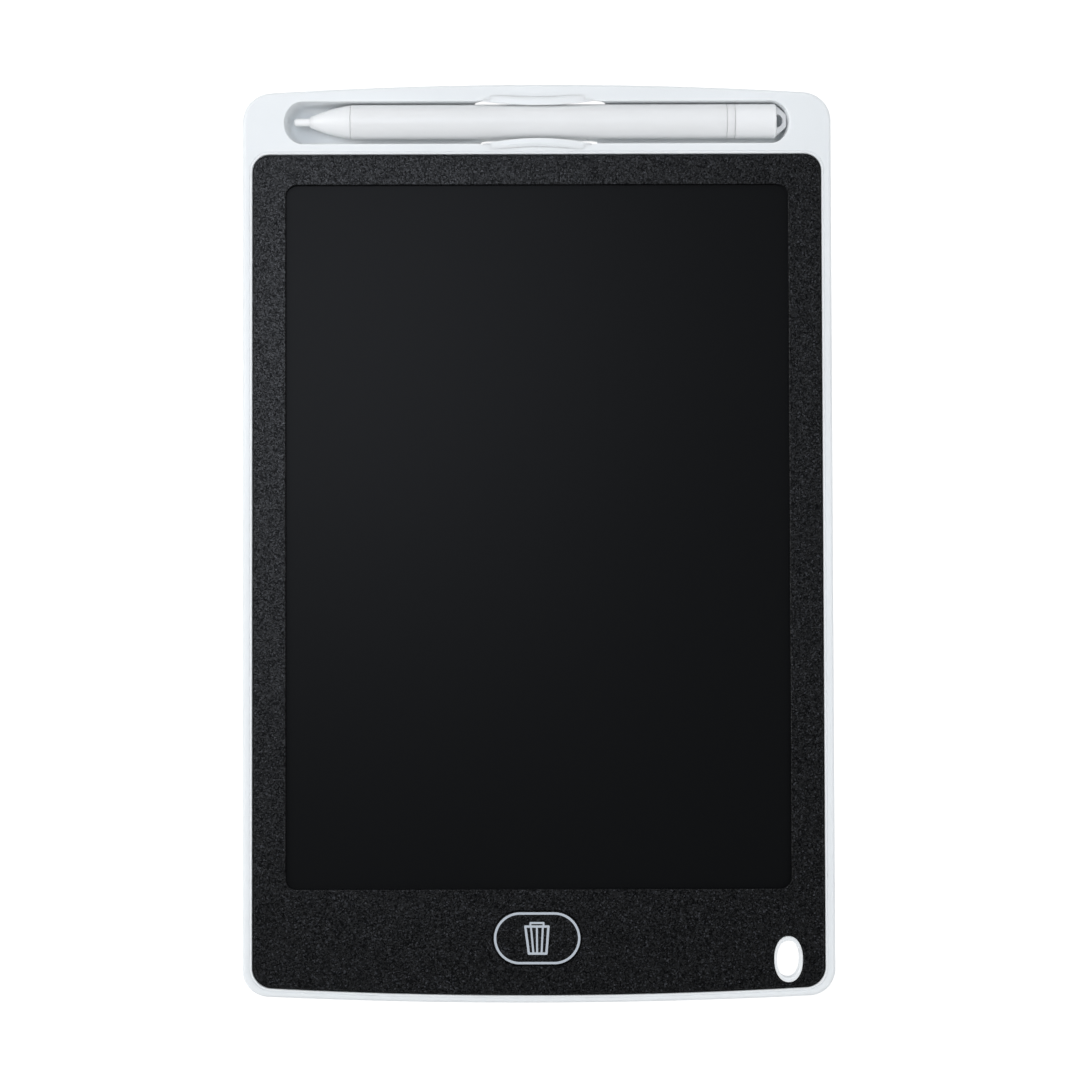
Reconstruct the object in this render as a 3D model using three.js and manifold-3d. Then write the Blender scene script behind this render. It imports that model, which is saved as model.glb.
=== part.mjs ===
// Erasable LCD writing tablet with a snap-in stylus.
// Millimetres. +X to the right of the screen, +Y towards the stylus tray, +Z out of the screen.
// The origin is the bottom centre of the bounding box: z = 0 is the crest of the stylus tray's bulge on the back.
import * as THREE from "three";
import { mergeVertices } from "three/addons/utils/BufferGeometryUtils.js";
import Module from "manifold-3d";

const wasm = await Module();
wasm.setup();

// ---------------------------------------------------------------- driving dimensions
const WIDTH = 145.3; // over the side walls
const LENGTH = 226; // crown of the top edge to crown of the bottom edge
const TOP_EDGE_R = 1092; // the short edges are shallow arcs
const BOTTOM_EDGE_R = 1400;
const TOP_CORNER_R = 7.2;
const BOTTOM_CORNER_R = 6.6;
const Z_BACK = 3.6; // flat back of the case
const Z_FRONT = 9.4; // top of the rim and the stylus deck
const FRONT_EDGE_R = 1.0;
const BACK_EDGE_R = 2.0;
const FLOOR_T = 1.4; // case floor
const Z_FLOOR = Z_BACK + FLOOR_T;

const PANEL_HALF_W = 69.8; // black face panel
const PANEL_TOP = 95.25;
const PANEL_BOTTOM = -110.75;
const PANEL_BOTTOM_R = 1180;
const PANEL_TOP_CORNER_R = 3.8;
const PANEL_BOTTOM_CORNER_R = 4.6;
const PANEL_T = 1.0;
const Z_PANEL = 8.25; // underside of the panel
const PANEL_GAP = 0.45;
const PANEL_FLANGE_T = 0.4; // a thin flange closes the gap round the panel from below
const PANEL_CLEAR = 0.06;
const LEDGE = 1.2; // ledge that carries the panel's edge

const WINDOW_HALF_W = 62.0; // writing window
const WINDOW_TOP = 88.1;
const WINDOW_BOTTOM = -85.3;
const WINDOW_R = 2.8;

const TRAY_Y = 103.55; // middle of the tray
const TRAY_Z = 6.2;
const TRAY_HALF_L = 62.4;
const TRAY_HALF_W = 5.25;
const TRAY_DEPTH = 4.7; // below the stylus axis
const TRAY_END = 4.5; // length of the rounded end
const TRAY_WALL = 1.5;

const CLIP_X = 0.2; // middle of the two snap lugs
const CLIP_HALF_L = 13.5;
const CLIP_REACH = { upper: 1.0, lower: 1.3 }; // how far a lug reaches over the tray
const CLIP_BAND = 2.1; // width of the bowed tongue
const CLIP_Z0 = 8.7;
const CLIP_Z1 = 9.75;
const RELIEF = [-14.4, 16.0]; // moulding windows under the lugs

const STYLUS_R = 4.3;
const STYLUS_Y = 104.15; // stylus axis: it lies against the outer side of the tray
const STYLUS_X = { tip: -60.2, nib: -56.1, cone: -46.0, band: 47.03, cap: 49.05, end: 59.2, lug: 61.85 };

const BUTTON = { x: -0.4, y: -97.2, hx: 10.82, hy: 6.58, end: 6.6 };
const BUTTON_GAP = 0.25;
const BUTTON_TRAVEL = 0.5;
const EYE = { x: 61.15, y: -102.5, ax: 2.85, ay: 4.55, bx: 3.5, by: 5.6, n: 2.18 }; // n squares the oval a little
const EYE_GAP = 0.33;

const CELL = { x: -38, y: -98.5, r: 10, z0: 4.95, t: 1.6 };
const DOOR = { x0: -50.75, x1: -19.6, y0: -109.3, y1: -87.7, r: 3, t: 1.1 };
const DOOR_SCREW = { x: -22.8, y: -98.5 };
const DOOR_HINGE = { x: -50.2, z: 4.15 };

const BOARD = { x0: -17, x1: 28, y0: -107.5, y1: -90.5, z0: 5.5, t: 0.8 };
const BOARD_SCREWS = [
  [-13.8, -104.3],
  [-13.8, -93.7],
  [24.4, -93.2],
];
const LOCK = { y: -101, travel: 2.0, x0: 31.6, x1: 36.6, half: 2.5 };

// ---------------------------------------------------------------- solids
const toSolid = (geometry) => {
  const g = geometry.clone();
  g.deleteAttribute("normal");
  g.deleteAttribute("uv");
  const m = mergeVertices(g, 1e-4);
  return new wasm.Manifold(
    new wasm.Mesh({
      numProp: 3,
      vertProperties: new Float32Array(m.attributes.position.array),
      triVerts: new Uint32Array(m.index.array),
    }),
  );
};
const toGeometry = (solid) => {
  const m = solid.getMesh();
  const n = m.numProp;
  const p = new Float32Array((m.vertProperties.length / n) * 3);
  for (let i = 0; i < p.length / 3; i++) p.set(m.vertProperties.subarray(i * n, i * n + 3), i * 3);
  const g = new THREE.BufferGeometry();
  g.setAttribute("position", new THREE.BufferAttribute(p, 3));
  g.setIndex(new THREE.BufferAttribute(new Uint32Array(m.triVerts), 1));
  const flat = g.toNonIndexed();
  flat.computeVertexNormals();
  return flat;
};
const join = (...s) => s.reduce((a, b) => a.add(b));
const cut = (a, ...s) => s.reduce((x, y) => x.subtract(y), a);

const box = (x0, x1, y0, y1, z0, z1) => {
  const g = new THREE.BoxGeometry(x1 - x0, y1 - y0, z1 - z0);
  g.translate((x0 + x1) / 2, (y0 + y1) / 2, (z0 + z1) / 2);
  return toSolid(g);
};
const cyl = (x, y, z0, z1, r, seg = 24, r2 = r) => {
  const g = new THREE.CylinderGeometry(r2, r, z1 - z0, seg);
  g.rotateX(Math.PI / 2);
  g.translate(x, y, (z0 + z1) / 2);
  return toSolid(g);
};
const prism = (shape, z0, z1, bevel = 0, segments = 3) => {
  const g = new THREE.ExtrudeGeometry(shape, {
    depth: z1 - z0 - 2 * bevel,
    bevelEnabled: bevel > 0,
    bevelThickness: bevel,
    bevelSize: bevel,
    bevelOffset: -bevel,
    bevelSegments: segments,
    curveSegments: 12,
    steps: 1,
  });
  g.translate(0, 0, z0 + bevel);
  return toSolid(g);
};
// a body turned about a line along X, from [x, radius] pairs; scaleZ flattens it
const turned = (profile, y, z, seg = 32, scaleZ = 1) => {
  const g = new THREE.LatheGeometry(
    profile.map(([x, r]) => new THREE.Vector2(r, x)),
    seg,
  );
  g.rotateZ(-Math.PI / 2);
  g.scale(1, 1, scaleZ);
  g.translate(0, y, z);
  return toSolid(g);
};

// ---------------------------------------------------------------- outlines
const arc = (cx, cy, r, a0, a1, n) => {
  const p = [];
  for (let i = 0; i <= n; i++) {
    const a = a0 + ((a1 - a0) * i) / n;
    p.push(new THREE.Vector2(cx + r * Math.cos(a), cy + r * Math.sin(a)));
  }
  return p;
};
// A slab with straight sides, an arched bottom edge and an arched or straight top edge. grow moves every edge outwards.
const slab = ({ halfW, top, topR, bottom, bottomR, rTop, rBottom }, grow = 0, nEdge = 12, nCorner = 7) => {
  const x = halfW + grow;
  const r1 = rTop + grow;
  const r2 = rBottom + grow;
  const pts = [];
  const bc = bottom + bottomR;
  const Rb = bottomR + grow;
  const bx = x - r2;
  const by = bc - Math.sqrt((Rb - r2) ** 2 - bx * bx);
  const aB = Math.atan2(by - bc, bx); // direction of the tangent point on the bottom arc
  const push = (list) =>
    list.forEach((q) => {
      const last = pts[pts.length - 1];
      if (!last || last.distanceTo(q) > 1e-4) pts.push(q);
    });
  push(arc(0, bc, Rb, -Math.PI - aB, aB, nEdge));
  push(arc(bx, by, r2, aB, 0, nCorner));
  if (topR) {
    const tc = top - topR;
    const Rt = topR + grow;
    const tx = x - r1;
    const ty = tc + Math.sqrt((Rt - r1) ** 2 - tx * tx);
    const aT = Math.atan2(ty - tc, tx);
    push(arc(tx, ty, r1, 0, aT, nCorner));
    push(arc(0, tc, Rt, aT, Math.PI - aT, nEdge));
    push(arc(-tx, ty, r1, Math.PI - aT, Math.PI, nCorner));
  } else {
    push(arc(x - r1, top + grow - r1, r1, 0, Math.PI / 2, nCorner));
    push(arc(-(x - r1), top + grow - r1, r1, Math.PI / 2, Math.PI, nCorner));
  }
  push(arc(-bx, by, r2, Math.PI, 2 * Math.PI - aB - Math.PI, nCorner));
  if (pts[0].distanceTo(pts[pts.length - 1]) < 1e-4) pts.pop();
  return new THREE.Shape(pts);
};
const CASE = { halfW: WIDTH / 2, top: LENGTH / 2, topR: TOP_EDGE_R, bottom: -LENGTH / 2, bottomR: BOTTOM_EDGE_R, rTop: TOP_CORNER_R, rBottom: BOTTOM_CORNER_R };
const PANEL = { halfW: PANEL_HALF_W, top: PANEL_TOP, bottom: PANEL_BOTTOM, bottomR: PANEL_BOTTOM_R, rTop: PANEL_TOP_CORNER_R, rBottom: PANEL_BOTTOM_CORNER_R };

const roundRect = (x0, x1, y0, y1, r, n = 5) =>
  new THREE.Shape([
    ...arc(x1 - r, y0 + r, r, -Math.PI / 2, 0, n),
    ...arc(x1 - r, y1 - r, r, 0, Math.PI / 2, n),
    ...arc(x0 + r, y1 - r, r, Math.PI / 2, Math.PI, n),
    ...arc(x0 + r, y0 + r, r, Math.PI, 1.5 * Math.PI, n),
  ]);
const ellipse = (cx, cy, ax, ay, e = 2, n = 36) => {
  const p = [];
  const pow = (v) => Math.sign(v) * Math.abs(v) ** (2 / e);
  for (let i = 0; i < n; i++) p.push(new THREE.Vector2(cx + ax * pow(Math.cos((2 * Math.PI * i) / n)), cy + ay * pow(Math.sin((2 * Math.PI * i) / n))));
  return new THREE.Shape(p);
};
// straight top and bottom, half-elliptical ends
const oval = (cx, cy, hx, hy, a, n = 12) => {
  const p = [];
  for (let i = 0; i <= n; i++) {
    const t = -Math.PI / 2 + (Math.PI * i) / n;
    p.push(new THREE.Vector2(cx + hx - a + a * Math.cos(t), cy + hy * Math.sin(t)));
  }
  for (let i = 0; i <= n; i++) {
    const t = Math.PI / 2 + (Math.PI * i) / n;
    p.push(new THREE.Vector2(cx - hx + a + a * Math.cos(t), cy + hy * Math.sin(t)));
  }
  return new THREE.Shape(p);
};
const poly = (...xy) => new THREE.Shape(xy.map(([x, y]) => new THREE.Vector2(x, y)));
const quarterEnds = (half, end, r, n) => {
  const p = [[-half, 0]];
  for (let i = 1; i <= n; i++) {
    const t = (Math.PI / 2) * (i / n);
    p.push([-(half - end) - end * Math.cos(t), r * Math.sin(t)]);
  }
  for (let i = n; i >= 1; i--) {
    const t = (Math.PI / 2) * (i / n);
    p.push([half - end + end * Math.cos(t), r * Math.sin(t)]);
  }
  p.push([half, 0]);
  return p;
};

// ---------------------------------------------------------------- assembly
const tablet = new THREE.Group();
tablet.name = "writing_tablet";
const paint = {
  case: { color: 0xe9edee, roughness: 0.38, metalness: 0 },
  face: { color: 0x1b1c1f, roughness: 0.62, metalness: 0 },
  film: { color: 0x15181a, roughness: 0.3, metalness: 0 },
  tape: { color: 0x202020, roughness: 0.8, metalness: 0 },
  foam: { color: 0x2b2b2b, roughness: 0.95, metalness: 0 },
  print: { color: 0xc9ccd3, roughness: 0.5, metalness: 0 },
  board: { color: 0x1d5a37, roughness: 0.5, metalness: 0 },
  chip: { color: 0x17181a, roughness: 0.5, metalness: 0 },
  polyimide: { color: 0xb0702a, roughness: 0.4, metalness: 0 },
  steel: { color: 0xb9bcc0, roughness: 0.32, metalness: 1 },
  tin: { color: 0xc6c2b6, roughness: 0.35, metalness: 1 },
  ceramic: { color: 0xa07a56, roughness: 0.6, metalness: 0 },
  stylus: { color: 0xe2e6e7, roughness: 0.35, metalness: 0 },
  slider: { color: 0xdfe3e4, roughness: 0.45, metalness: 0 },
};
const add = (name, solid, look, group = tablet) => {
  const mesh = new THREE.Mesh(toGeometry(solid), new THREE.MeshStandardMaterial(paint[look]));
  mesh.name = name;
  group.add(mesh);
  return mesh;
};

// ---- back_shell: one moulding with the floor, the rim, the stylus deck with its tray, the lanyard eye and the battery well
const panelRecess = prism(slab(PANEL, PANEL_GAP), Z_PANEL - 0.05, Z_FRONT + 1);
const cavity = prism(slab(PANEL, -LEDGE), Z_FLOOR, Z_FRONT);
const trayCut = join(
  turned(quarterEnds(TRAY_HALF_L, TRAY_END, TRAY_HALF_W, 6), TRAY_Y, TRAY_Z, 36, TRAY_DEPTH / TRAY_HALF_W),
  prism(oval(0, TRAY_Y, TRAY_HALF_L, TRAY_HALF_W, TRAY_END, 14), TRAY_Z, Z_FRONT + 2),
);
const bulge = cut(
  turned(
    quarterEnds(TRAY_HALF_L + TRAY_WALL, TRAY_END + TRAY_WALL, TRAY_HALF_W + TRAY_WALL, 6),
    TRAY_Y,
    TRAY_Z,
    40,
    TRAY_Z / (TRAY_HALF_W + TRAY_WALL),
  ),
  box(-80, 80, 90, 118, 8.2, 20),
);
// plan of a snap lug, a tongue bowed towards the stylus: side +1 is the one on the outer side of the tray, -1 the one next to the screen
const lugShape = (side, grow = 0) => {
  const edge = TRAY_Y + side * TRAY_HALF_W;
  const half = CLIP_HALF_L + grow;
  const reach = side > 0 ? CLIP_REACH.upper : CLIP_REACH.lower;
  const pts = [];
  const n = 14;
  for (let i = 0; i <= n; i++) {
    const u = -1 + (2 * i) / n;
    pts.push([CLIP_X + half * u, edge - side * (reach * (1 - u * u) + grow * (1 - u ** 8))]);
  }
  for (let i = n - 1; i >= 1; i--) {
    const u = -1 + (2 * i) / n;
    pts.push([CLIP_X + half * u, edge - side * (reach * (1 - u * u) - (CLIP_BAND + grow) * Math.sqrt(1 - u ** 4))]);
  }
  const p = side > 0 ? pts : pts.reverse();
  return poly(...p);
};
const floorRecess = roundRect(DOOR.x0 - 0.45, DOOR.x1 + 0.2, DOOR.y0 - 0.2, DOOR.y1 + 0.2, DOOR.r + 0.2);
let shell = join(prism(slab(CASE), 5.2, Z_FRONT, FRONT_EDGE_R, 4), prism(slab(CASE), Z_BACK, 8.2, BACK_EDGE_R, 4));
shell = cut(shell, cavity, panelRecess);
shell = join(
  shell,
  bulge,
  prism(ellipse(EYE.x, EYE.y, EYE.bx, EYE.by, EYE.n), 4.4, Z_FRONT - 0.05),
  cyl(CELL.x, CELL.y, 4.6, 6.9, CELL.r + 1.7, 40),
  prism(roundRect(DOOR.x0 - 1.6, DOOR.x1 + 1.4, DOOR.y0 - 1.2, DOOR.y1 + 0.6, 2), 4.6, 5.5),
  cyl(DOOR_SCREW.x, DOOR_SCREW.y, 4.6, 7.9, 4.8, 28),
  ...BOARD_SCREWS.map(([x, y]) => cyl(x, y, 4.6, BOARD.z0 - 0.03, 2.2, 20)),
  box(38.9, 39.9, -108, -92, 4.6, 6.35),
  box(37.9, 39.9, -108, -92, 5.85, 6.35),
);
shell = cut(
  shell,
  trayCut,
  // moulding windows below the snap lugs, right through the back
  box(RELIEF[0], RELIEF[1], TRAY_Y + TRAY_HALF_W - 1.0, TRAY_Y + TRAY_HALF_W + 0.15, -1, CLIP_Z0 - 0.1),
  box(RELIEF[0], RELIEF[1], TRAY_Y - TRAY_HALF_W - 0.15, TRAY_Y - TRAY_HALF_W + 1.0, -1, CLIP_Z0 - 0.1),
  // seats of the snap lugs
  prism(lugShape(1, 0.06), CLIP_Z0 - 0.06, Z_FRONT + 2),
  prism(lugShape(-1, 0.06), CLIP_Z0 - 0.06, Z_FRONT + 2),
  prism(ellipse(EYE.x, EYE.y, EYE.ax, EYE.ay, EYE.n), 2, 12),
  // battery bay: door recess, cell well, tower for the door's screw, room for the door's hooks
  prism(floorRecess, Z_BACK - 1, Z_BACK + DOOR.t + 0.1),
  box(DOOR.x0 - 0.6, DOOR.x0 + 1.2, DOOR.y0 + 0.5, DOOR.y1 - 0.5, Z_BACK - 1, Z_BACK + DOOR.t + 0.1),
  cyl(CELL.x, CELL.y, 4, 8, CELL.r + 0.3, 40),
  cyl(DOOR_SCREW.x, DOOR_SCREW.y, 4, 5.75, 3.6, 28),
  cyl(DOOR_SCREW.x, DOOR_SCREW.y, 5, 9, 1.25, 20),
  box(DOOR.x0 - 0.6, DOOR.x0 + 2.0, DOOR.y0 + 1.6, DOOR.y1 - 1.6, 4.0, 5.2),
  box(DOOR.x0 - 2.3, DOOR.x0 + 1.4, CELL.y + 4.4, CELL.y + 9.1, 4.15, 7.4),
  box(DOOR.x0 - 2.3, DOOR.x0 + 1.4, CELL.y - 9.1, CELL.y - 4.4, 4.15, 7.4),
  // notch for the contact on the cell's rim
  box(CELL.x + 4.6, CELL.x + 12, CELL.y - 9.9, CELL.y - 5.0, 5.52, 8),
  // opening of the lock slider, in a shallow finger recess
  prism(roundRect(LOCK.x0 - 2.2, LOCK.x1 + 2.2, LOCK.y - 6.2, LOCK.y + 8.2, 2), Z_BACK - 1, Z_BACK + 0.5),
  prism(roundRect(LOCK.x0 - 0.25, LOCK.x1 + 0.25, LOCK.y - LOCK.half - 0.3, LOCK.y + LOCK.half + LOCK.travel + 0.3, 0.6, 3), 2, 6),
  ...BOARD_SCREWS.map(([x, y]) => cyl(x, y, 4.1, 6, 0.75, 14)),
);
add("back_shell", shell, "case");

// ---- snap lugs: thin tongues that flex outwards while the stylus snaps past them
const lug = (side) => {
  const s = prism(lugShape(side), CLIP_Z0, CLIP_Z1, 0.25, 2);
  return s;
};
add("stylus_clip_upper", lug(1), "case");
add("stylus_clip_lower", lug(-1), "case");

// ---- face_panel: black textured front with the writing window, the key's hole and the lanyard eye's hole
const panelTop = cut(prism(slab(PANEL), Z_PANEL, Z_PANEL + PANEL_T, 0.25, 2), prism(ellipse(EYE.x, EYE.y, EYE.bx + EYE_GAP, EYE.by + EYE_GAP, EYE.n), 7, 11));
let panel = join(panelTop, prism(slab(PANEL, PANEL_GAP - PANEL_CLEAR), Z_PANEL, Z_PANEL + PANEL_FLANGE_T));
panel = cut(
  panel,
  prism(roundRect(-WINDOW_HALF_W, WINDOW_HALF_W, WINDOW_BOTTOM, WINDOW_TOP, WINDOW_R, 6), 7, 11),
  prism(oval(BUTTON.x, BUTTON.y, BUTTON.hx + BUTTON_GAP, BUTTON.hy + BUTTON_GAP, BUTTON.end + BUTTON_GAP), 7, 11),
  prism(ellipse(EYE.x, EYE.y, EYE.bx + PANEL_CLEAR, EYE.by + PANEL_CLEAR, EYE.n), 7, 11),
);
const tabs = [];
for (const y of [78, 28, -22, -72]) {
  tabs.push(box(-68.5, -67.5, y - 4, y + 4, 7.3, Z_PANEL + 0.2), box(67.5, 68.5, y - 4, y + 4, 7.3, Z_PANEL + 0.2));
}
for (const x of [-52, 46]) tabs.push(box(x - 4, x + 4, -108.0, -107.1, 7.3, Z_PANEL + 0.2));
add("face_panel", join(panel, ...tabs), "face");

// ---- display stack
const FILM = { x: 66, y0: -87.4, y1: 92.6 };
add("lcd_film", prism(roundRect(-FILM.x, FILM.x, FILM.y0, FILM.y1, 2, 3), 7.5, 8.05), "film");
add(
  "lcd_adhesive_frame",
  cut(
    prism(roundRect(-FILM.x + 0.3, FILM.x - 0.3, FILM.y0 + 0.3, FILM.y1 - 0.3, 2, 3), 8.08, 8.22),
    prism(roundRect(-WINDOW_HALF_W - 0.9, WINDOW_HALF_W + 0.9, WINDOW_BOTTOM - 0.9, WINDOW_TOP + 0.9, 3, 3), 7, 9),
  ),
  "tape",
);
add("lcd_backing_sheet", prism(roundRect(-FILM.x, FILM.x, FILM.y0, FILM.y1, 2, 3), 7.2, 7.45), "tape");
add("foam_pad", prism(roundRect(-FILM.x + 0.5, FILM.x - 0.5, FILM.y0 + 1.1, FILM.y1 - 0.5, 2, 3), Z_FLOOR + 0.05, 7.15), "foam");
// flexible tail: leaves the film's lower edge, steps down and enters the connector
const strip = (profile, x0, x1) => {
  const g = new THREE.ExtrudeGeometry(poly(...profile), { depth: x1 - x0, bevelEnabled: false, steps: 1 });
  // the profile is drawn in (y, z) and extruded along +X
  g.applyMatrix4(new THREE.Matrix4().set(0, 0, 1, x0, 1, 0, 0, 0, 0, 1, 0, 0, 0, 0, 0, 1));
  return toSolid(g);
};
add(
  "lcd_flex_tail",
  strip(
    [
      [-87.45, 7.7],
      [-88.5, 7.7],
      [-90.2, 6.92],
      [-92.2, 6.92],
      [-92.2, 6.8],
      [-90.15, 6.8],
      [-88.45, 7.58],
      [-87.45, 7.58],
    ].map(([y, z]) => [y, z]),
    13.4,
    21.4,
  ),
  "polyimide",
);
add(
  "flex_connector",
  cut(box(12.3, 22.5, -94.2, -91.2, 6.33, 7.4), box(13.2, 21.6, -93, -91, 6.7, 7.02)),
  "chip",
);

// ---- control board
let board = prism(roundRect(BOARD.x0, BOARD.x1, BOARD.y0, BOARD.y1, 1, 3), BOARD.z0, BOARD.z0 + BOARD.t);
board = cut(board, ...BOARD_SCREWS.map(([x, y]) => cyl(x, y, 5, 7, 0.95, 16)));
add("main_board", board, "board");
const zb = BOARD.z0 + BOARD.t + 0.03;
add(
  "tact_switch_base",
  cut(box(BUTTON.x - 2.6, BUTTON.x + 2.6, BUTTON.y - 2.6, BUTTON.y + 2.6, zb, 7.1), cyl(BUTTON.x, BUTTON.y, 6.5, 8, 1.5, 24)),
  "steel",
);
add("controller_chip", box(12.4, 17.3, -101.6, -97.7, zb, 7.7), "chip");
add("boost_inductor", cut(cyl(18.8, -104.3, zb, 7.75, 2.3, 24), cyl(18.8, -104.3, 7.4, 8, 1.0, 16)), "chip");
add("chip_capacitor_1", box(7.0, 8.6, -104.2, -103.4, zb, 7.1), "ceramic");
add("chip_capacitor_2", box(10.4, 12.0, -105.4, -104.6, zb, 7.1), "ceramic");
add("chip_capacitor_3", box(-9.4, -8.6, -94.8, -93.2, zb, 7.1), "ceramic");
add("rectifier_diode", box(-9.9, -7.3, -103.1, -101.6, zb, 7.2), "chip");
add("lock_switch_base", cut(box(24.8, 28.0, LOCK.y - 3.4, LOCK.y + 3.4 + 1.2, zb, 7.7), box(26.8, 29, LOCK.y - 1.0, LOCK.y + LOCK.travel + 1.0, 6.55, 7.45)), "steel");
const screw = (x, y, zSeat, dir, headR, headT, shankR, shankL, seg = 20) => {
  // head above zSeat for dir +1, below it for dir -1
  const hz0 = dir > 0 ? zSeat : zSeat - headT;
  const hz1 = dir > 0 ? zSeat + headT : zSeat;
  const head = cyl(x, y, hz0, hz1, dir > 0 ? headR : headR * 0.82, seg, dir > 0 ? headR * 0.82 : headR);
  const sz0 = dir > 0 ? zSeat - shankL : zSeat - 0.05;
  const sz1 = dir > 0 ? zSeat + 0.05 : zSeat + shankL;
  const shank = cyl(x, y, sz0, sz1, shankR, 14);
  const slotZ0 = dir > 0 ? hz1 - headT * 0.55 : hz0 - 0.2;
  const slotZ1 = dir > 0 ? hz1 + 0.2 : hz0 + headT * 0.55;
  const w = headR * 0.14;
  const l = headR * 0.55;
  return cut(join(head, shank), join(box(x - w, x + w, y - l, y + l, slotZ0, slotZ1), box(x - l, x + l, y - w, y + w, slotZ0, slotZ1)));
};
BOARD_SCREWS.forEach(([x, y], i) => add(`board_screw_${i + 1}`, screw(x, y, 6.35, 1, 1.5, 0.65, 0.68, 2.1), "steel"));

// ---- battery
const cell = join(
  cyl(CELL.x, CELL.y, CELL.z0, CELL.z0 + 1.25, CELL.r, 40),
  cyl(CELL.x, CELL.y, CELL.z0 + 1.2, CELL.z0 + CELL.t, CELL.r - 1.2, 40),
);
add("coin_cell", cell, "steel");
// the negative leaf crosses over the cell and springs down on to its middle
const leafShape = poly([-15.0, -93.0], [-15.0, -91.0], [-31.2, -91.0], [-38.6, -96.6], [-39.4, -99.6], [-36.8, -100.0], [-36.6, -97.8], [-30.4, -93.0]);
add("contact_negative", join(prism(leafShape, 7.1, 7.3), cyl(-38, -98.9, 6.6, 7.2, 0.9, 16), box(-17.0, -15.0, -93.0, -91.0, 7.1, 7.3), box(-15.6, -15.0, -93.0, -91.0, zb, 7.2)), "tin");
const rimTab = (() => {
  const g = new THREE.BoxGeometry(0.3, 4.2, 1.5);
  g.translate(CELL.r + 0.32, 0, 0);
  g.rotateZ(-0.78);
  g.translate(CELL.x, CELL.y, 6.35);
  return toSolid(g);
})();
add(
  "contact_positive",
  join(rimTab, prism(poly([-31.58, -106.68], [-30.6, -107.2], [-15.2, -107.2], [-15.2, -105.9], [-28.4, -105.9], [-29.76, -104.84]), 6.85, 7.05), box(-16.6, -15.2, -107.2, -105.9, zb, 6.95)),
  "tin",
);

// ---- moving parts, each in a group of its own
const group = (name) => {
  const g = new THREE.Group();
  g.name = name;
  tablet.add(g);
  return g;
};

// erase key: pressed along -Z on to the tact switch
const key = group("erase_key");
add(
  "erase_button",
  join(
    prism(oval(BUTTON.x, BUTTON.y, BUTTON.hx, BUTTON.hy, BUTTON.end), 7.75, 9.55, 0.2, 2),
    prism(oval(BUTTON.x, BUTTON.y, BUTTON.hx + 0.8, BUTTON.hy + 0.8, BUTTON.end + 0.4), 7.75, 8.2),
    cyl(BUTTON.x, BUTTON.y, 7.65, 7.9, 1.2, 20),
  ),
  "face",
  key,
);
add("tact_switch_plunger", cyl(BUTTON.x, BUTTON.y, 7.05, 7.6, 1.3, 24), "chip", group("tact_plunger"));

// lock slider: slides along +Y, its fork carries the lever of the switch on the board
const ly = LOCK.y;
let slider = join(
  prism(roundRect(LOCK.x0, LOCK.x1, ly - LOCK.half, ly + LOCK.half, 0.5, 3), Z_BACK + 0.05, 5.3),
  prism(roundRect(28.5, 38.6, ly - 5.2, ly + 5.2, 0.8, 3), Z_FLOOR + 0.05, 5.65),
  box(28.5, 30.4, ly - 1.65, ly - 0.75, 5.5, 7.5),
  box(28.5, 30.4, ly + 0.75, ly + 1.65, 5.5, 7.5),
);
for (const k of [-1.5, -0.5, 0.5, 1.5]) slider = cut(slider, box(LOCK.x0 - 1, LOCK.x1 + 1, ly + k - 0.2, ly + k + 0.2, Z_BACK - 1, Z_BACK + 0.4));
add("lock_slider", slider, "slider", group("lock_slide"));
add("lock_switch_lever", box(27.0, 30.6, ly - 0.6, ly + 0.6, 6.65, 7.35), "chip", group("lock_lever"));

// battery door: hooks on its left end, one screw on its right
const doorGroup = group("battery_hatch");
let door = join(
  prism(roundRect(DOOR.x0, DOOR.x1, DOOR.y0, DOOR.y1, DOOR.r), Z_BACK, Z_BACK + DOOR.t),
  cyl(DOOR_SCREW.x, DOOR_SCREW.y, Z_BACK, 5.6, 3.2, 28),
  box(DOOR.x0 - 1.6, DOOR.x0 + 1.2, CELL.y + 4.9, CELL.y + 8.6, 4.35, 4.95),
  box(DOOR.x0 - 1.6, DOOR.x0 + 1.2, CELL.y - 8.6, CELL.y - 4.9, 4.35, 4.95),
);
door = cut(door, cyl(DOOR_SCREW.x, DOOR_SCREW.y, 3, 4.65, 2.3, 28), cyl(DOOR_SCREW.x, DOOR_SCREW.y, 3, 7, 1.2, 20));
// moulded grip ribs on the outside
for (const k of [0, 1, 2]) door = cut(door, box(-45.5 + k * 1.6, -44.9 + k * 1.6, CELL.y - 5, CELL.y + 5, 3, Z_BACK + 0.3));
add("battery_door", door, "case", doorGroup);
const screwGroup = new THREE.Group();
screwGroup.name = "battery_door_screw_turn";
doorGroup.add(screwGroup);
add("battery_door_screw", screw(DOOR_SCREW.x, DOOR_SCREW.y, 4.6, -1, 1.95, 0.85, 0.9, 3.0, 28), "steel", screwGroup);

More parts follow.
